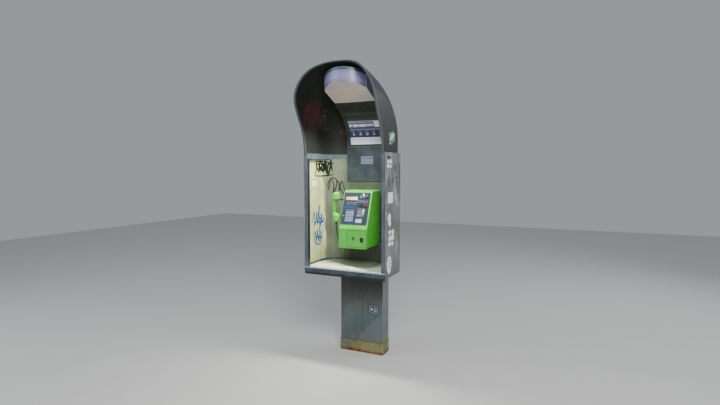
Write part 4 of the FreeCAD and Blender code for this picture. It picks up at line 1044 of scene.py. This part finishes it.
for name, left, low, right, high, material, lift, thick in (
        ("card_stripe", 58, 153.5, 93, 156.5, ink_red, 5, 0.3),
        ("card_panel", 15, 62, 76, 134, ink_brown, 0, 0.35),
        ("card_picture", 24, 92, 62, 118, ink_dim, 0.35, 0.3),
        ("card_band", 24, 108, 62, 113, ink_navy, 0.65, 0.25),
        ("card_chip", 28, 96, 37, 103, ink_orange, 0.65, 0.25),
        ("card_arrow_shaft", 66, 84, 70, 112, ink_white, 0.35, 0.3)):
    patch(name, on_face, left, low, right, high, material, lift, thick)
arrow = [(61, 112), (75, 112), (68, 124)]
grid_piece("card_arrow_head", [[on_face(x, z, lift) for x, z in arrow] for lift in (0.35, 0.65)], ink_white)
dashes("card_line", on_face, 22, 60, 70, 74, ink_header, 0.35, 3, 12, 47)
dashes("card_line_low", on_face, 22, 56, 78, 82, ink_header, 0.35, 3, 10, 49)
patch("price_label", on_face, 12, 17, 66, 50, ink_dim)
for k in range(4):
    dashes(f"price_line_{k}", on_face, 16, 62, 21 + 7 * k, 24 + 7 * k, ink_white, 0.35, 3, 12, 51 + k)
patch("face_mark", on_face, -92, 65, -85, 72, ink_pale, 0, 0.3)
dashes("keypad_head", on_face, -72, -8, 112, 117, ink_steel_blue, 0, 3, 10, 61)
dashes("keypad_note", on_face, -90, -4, 128, 146, ink_navy, 0, 5, 26, 63)

keypad_blue = print_ink("keypad_blue", (88, 104, 140), 0.2)
for k, (low, high) in enumerate(((23.5, 26.3), (41.7, 46.3), (61.7, 66.3), (81.7, 86.3), (101.7, 106))):
    patch(f"keypad_row_{k}", on_face, -73, low, -7, high, keypad_blue, 0, 0.8)
for k, (left, right) in enumerate(((-73, -71.2), (-52.8, -49.2), (-30.8, -27.2), (-8.8, -7))):
    patch(f"keypad_column_{k}", on_face, left, 23.5, right, 106, keypad_blue, 0, 0.7)


KEYPAD_X, KEYPAD_Z, KEY_PACE_X, KEY_PACE_Z = -40, 34, 22, 20
CAP_PROUD, STAR_DROP = 6.65, 1.5


def mark_key(key, text, column, line):
    """A digit on a key's cap."""
    curve = bpy.data.curves.new(f"digit_{key}", "FONT")
    curve.body, curve.size, curve.extrude = text, 0.0105, 0.00012
    curve.align_x, curve.align_y = "CENTER", "CENTER"
    mesh = meshed(f"digit_{key}", curve)
    drop = STAR_DROP if text == "*" else 0
    origin = face(KEYPAD_X + KEY_PACE_X * column, -CAP_PROUD, KEYPAD_Z + KEY_PACE_Z * line - drop)
    for vertex in mesh.vertices:
        x, y, z = vertex.co
        vertex.co = origin + Vector((x, 0, 0)) + FACE_UP * y + FACE_OUT.normalized() * z
    mesh.materials.clear()
    mesh.materials.append(ink_navy)
    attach(add(f"digit_{key}", mesh), f"key_{key}")


KEY_WORDS = {"*": "star", "#": "hash"}
for column, texts in zip((-1, 0, 1), ("*741", "0852", "#963")):
    for line, text in enumerate(texts):
        mark_key(KEY_WORDS.get(text, text), text, column, line)

# ---- telephone body

return_green = moulded("return_green", (112, 190, 88), (70, 130, 54), (0.25, 0.4), 300, 0.4)
seam_green = print_ink("seam_green", (24, 66, 22), 0.1)
frame_bars("door_shadow", on_door, -44.4, 10.6, 109.4, 133.4, 1.4, seam_green, 0, 0.25)
frame_bars("return_frame", on_door, 59, 46, 90, 85, 4.5, return_green, 0, 1.6, body="door")
lathe("lock_ring", phone(6, 0, 75), FRONT, [(11, 0), (11, 0.8), (9.8, 1.4), (8, 1.4), (7.4, 0.02)],
      steel_dark, 32, body="door")
for k, x in enumerate((-94, -58)):
    screw(f"chin_screw_{k}", phone(x, 0, 20), FRONT, 3.6, steel)
HOUSING_HALF, SEAM_Y, SEAM_WIDE, SEAM_PROUD = 115, 196, 1.6, 0.3
for k, (y, z) in enumerate(((30, 40), (216, 40), (216, 380), (128, 380))):
    for side in (-1, 1):
        screw(f"side_screw_{k}_{side + 1}", phone(side * HOUSING_HALF, y, z), (side, 0, 0), 4, door_green)
for side, label in ((-1, "left"), (1, "right")):
    inner, outer, rear = side * HOUSING_HALF, side * (HOUSING_HALF + SEAM_PROUD), SEAM_Y + SEAM_WIDE
    rows = [[phone(inner, SEAM_Y, z), phone(inner, rear, z), phone(outer, rear, z), phone(outer, SEAM_Y, z)]
            for z in (6, 416)]
    grid_piece(f"side_seam_{label}", rows, black_plastic)

# ---- stickers, pen and spray


def cluster(name, surface, left, low, right, high, columns, rows, material, seed):
    """Rounded shapes that fill a box, in place of letters."""
    rng = random.Random(seed)
    wide, tall = (right - left) / columns, (high - low) / rows
    for i in range(columns):
        for j in range(rows):
            centre = (left + wide * (i + 0.5 + rng.uniform(-0.12, 0.12)),
                      low + tall * (j + 0.5 + rng.uniform(-0.12, 0.12)))
            radii = wide * rng.uniform(0.36, 0.52), tall * rng.uniform(0.36, 0.52)
            blob(f"{name}_{i}_{j}", surface, centre, radii, material, 0, 0.3, 18, seed + 7 * i + j, 0.22)


scribble("tag_black", on_liner, 150, 732, 350, 815, 10, 4, 17, ink_black)
scribble("tag_black_over", on_liner, 160, 738, 345, 806, 8, 14, 13, ink_black, lift=0.3)
stroke("tag_black_top", on_liner, [(150, 812), (230, 818), (300, 812), (365, 800)], 9, ink_black, lift=0.6)
stroke("tag_underline", on_liner, [(135, 708), (210, 704), (290, 706), (360, 714)], 10, ink_black)
scribble("tag_grey", on_liner, 320, 585, 446, 684, 6, 23, 12, ink_grey)
stroke("tag_grey_arc", on_liner, [(322, 588), (312, 640), (345, 690), (395, 660), (420, 590), (440, 560)], 10,
       ink_grey, lift=0.3)
patch("square_label", on_liner, 104, 630, 168, 668, ink_white)
scribble("tag_blue", on_liner, 104, 330, 258, 424, 8, 36, 13, ink_blue)
stroke("tag_blue_tail", on_liner, [(120, 330), (170, 352), (250, 345), (200, 400), (214, 478), (180, 400)],
       12, ink_blue, lift=0.3)
scribble("tag_blue_low", on_liner, 120, 196, 250, 288, 7, 47, 12, ink_blue)
stroke("tag_blue_loop", on_liner, [(150, 190), (205, 178), (232, 215), (190, 240), (152, 210), (168, 178)],
       11, ink_blue, lift=0.3)

scribble("tag_red", on_hood_inside, -196, 1084, -24, 1256, 8, 58, 30, ink_dark_red, thick=0.4)
scribble("tag_red_haze", on_hood_inside, -150, 1070, 60, 1180, 6, 63, 34, ink_red_haze, lift=0.4)
stroke("tag_red_tail", on_hood_inside, [(-180, 1250), (-150, 1120), (-60, 1085), (30, 1075), (120, 1062)], 12,
       ink_dark_red, lift=0.4, thick=0.4)
blob("tag_red_spot", on_hood_inside, (222, 1042), (32, 26), ink_dark_red, 0, 0.5, 24, 5, 0.2)

blob("hood_label", on_hood_outside, (150, 980), (58, 44), ink_green, 0, 0.4, 14, 8, 0.22)
for k in range(3):
    line = [(112 + 26 * k, 952 + 8 * k), (146 + 22 * k, 1004 + 4 * k)]
    stroke(f"hood_label_bar_{k}", on_hood_outside, line, 9, ink_white, lift=0.4)
patch("hood_label_low", on_hood_outside, 98, 928, 136, 944, ink_orange, 0, 0.4)

patch("side_label_dark", on_skin, 24, 829, 90, 846, ink_grey)
cluster("side_marks", on_skin, 22, 764, 116, 822, 2, 2, ink_white, 61)
scribble("side_pen", on_skin, 60, 650, 240, 790, 5, 72, 6, ink_slate)
stroke("side_pen_tail", on_skin, [(50, 640), (80, 700), (60, 640), (140, 690), (250, 700)], 5, ink_slate,
       lift=0.3)
patch("side_sheet", on_skin, 44, 521, 134, 596, ink_white)
patch("side_strip", on_skin, 196, 494, 216, 574, ink_pink, 0, 0.3)
blob("side_torn", on_skin, (72, 412), (28, 40), ink_white, 0, 0.35, 26, 3, 0.35)
blob("side_torn_low", on_skin, (84, 378), (14, 22), ink_white, 0, 0.3, 20, 13, 0.3)
cluster("side_blotch", on_skin, 46, 216, 160, 334, 2, 3, ink_white, 81)
blob("side_oval", on_skin, (68, 92), (38, 62), ink_white, 0, 0.35, 32, 17, 0.1)
for k in range(3):
    line = [(48, 70 + 22 * k), (66, 80 + 20 * k), (88, 72 + 22 * k)]
    stroke(f"side_oval_mark_{k}", on_skin, line, 7, ink_grey, lift=0.35)
stroke("side_scratch", on_skin, [(190, 640), (204, 560), (196, 470), (206, 400)], 5, ink_pale)
stroke("side_scratch_low", on_skin, [(180, 210), (188, 150), (182, 90)], 7, ink_pale)
scribble("side_pen_rear", on_skin, 240, 560, 330, 760, 4, 95, 5, ink_slate)

skirting = paint("skirting", (58, 66, 70), (30, 34, 34), (78, 88, 90), 14, 0.5, 0.2)
SKIRT_LOW, SKIRT_HIGH, SKIRT_THICK, SKIRT_START, SKIRT_PACE = 39.2, 57, 2.2, 31, 16
for side, label in ((1, "left"), (-1, "right")):
    rows = []
    for s in [SKIRT_START + SKIRT_PACE * k for k in range(31)]:
        ring = [on_liner(s, SKIRT_LOW, 0.1), on_liner(s, SKIRT_HIGH, 0.1),
                on_liner(s, SKIRT_HIGH - 2, SKIRT_THICK), on_liner(s, SKIRT_LOW, SKIRT_THICK)]
        rows.append([Vector((side * (p.x - CABINET.x) + CABINET.x, p.y, p.z)) for p in ring])
    grid_piece(f"skirting_{label}", rows, skirting)
band("spine_seam", -161, 6, 161, 8, ink_seam, 0, 0.5, 2)

RIVET_PROFILE = [(3.4, 0), (3.4, 0.25), (2.6, 0.5), (0.05, 0.55)]
RIVETS, RIVET_START, RIVET_PACE = 9, 24, 52
for k in range(RIVETS):
    for level, word in ((14, "low"), (856, "high")):
        for side in (-1, 1):
            along = RIVET_START + RIVET_PACE * k
            spot = on_skin(along, level, 0)
            out = on_skin(along, level, 1) - spot
            if side < 0:
                spot = Vector((2 * CABINET.x - spot.x, spot.y, spot.z))
                out = Vector((-out.x, out.y, out.z))
            lathe(f"rivet_{word}_{k}_{side + 1}", spot, out, RIVET_PROFILE, skin_paint, 16)

STICKER_TILT, STICKER_X, STICKER_Z = math.radians(-6), 102, -318


def on_post_turned(x, z, lift):
    """The column's front, in the frame of a sticker that was put on a little askew."""
    c, s = math.cos(STICKER_TILT), math.sin(STICKER_TILT)
    return on_post(STICKER_X + x * c - z * s, STICKER_Z + x * s + z * c, lift)


patch("post_label", on_post_turned, -44, -36, 44, 36, ink_slate, 0, 0.4)
frame_bars("post_label_frame", on_post_turned, -32, -24, 32, 24, 3.5, ink_pale, 0.4, 0.3)
blob("post_label_dot", on_post_turned, (-14, 0), (11, 13), ink_pale, 0.4, 0.3, 24, 2, 0.05)
for k in range(3):
    patch(f"post_label_bar_{k}", on_post_turned, 4, -15 + 11 * k, 26, -9 + 11 * k, ink_pale, 0.4, 0.3)

# ---- foot sleeve and edge strips

post_low, post_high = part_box("pedestal_column")
sleeve_proud, sleeve_low, sleeve_high = 1.4 * MM, 0.5 * MM, 92 * MM
rows = []
for x, y in ((post_low.x, post_low.y), (post_high.x, post_low.y), (post_high.x, post_high.y),
             (post_low.x, post_high.y)):
    out_x, out_y = x + math.copysign(sleeve_proud, x), y + math.copysign(sleeve_proud, y)
    rows.append([Vector((x, y, sleeve_low)), Vector((out_x, out_y, sleeve_low)),
                 Vector((out_x, out_y, sleeve_high)), Vector((x, y, sleeve_high + 1.2 * MM))])
sleeve_paint = paint("sleeve_paint", (112, 108, 64), (62, 54, 30), (134, 132, 90), 9, 0.5, 0.3,
                     extra=sleeve_marks)
grid_piece("foot_sleeve", rows, sleeve_paint, wrap=True, slot="column_paint")
STILE_INNER, GASKET_THICK = 291, 2.2
for side, label in ((-1, "left"), (1, "right")):
    outer, inner = side * STILE_INNER, side * (STILE_INNER - GASKET_THICK)
    rows = [[cab(outer, 1, z), cab(inner, 1, z), cab(inner, 29, z), cab(outer, 29, z)] for z in (40, 834)]
    grid_piece(f"door_gasket_{label}", rows, black_plastic)
EDGE_LOW, EDGE_TOP, EDGE_THICK, EDGE_REAR = 33, 39, 0.6, 31
edge_outline = [(-EDGE_THICK, EDGE_LOW), (-EDGE_THICK, EDGE_TOP + EDGE_THICK),
                (EDGE_REAR, EDGE_TOP + EDGE_THICK), (EDGE_REAR, EDGE_TOP), (0, EDGE_TOP), (0, EDGE_LOW)]
edge_paint = paint("shelf_edge", (168, 176, 178), (110, 118, 120), None, 20, 0.3, 0.2)
grid_piece("shelf_edge", [[cab(x, y, z) for y, z in edge_outline] for x in (-318, 318)], edge_paint)
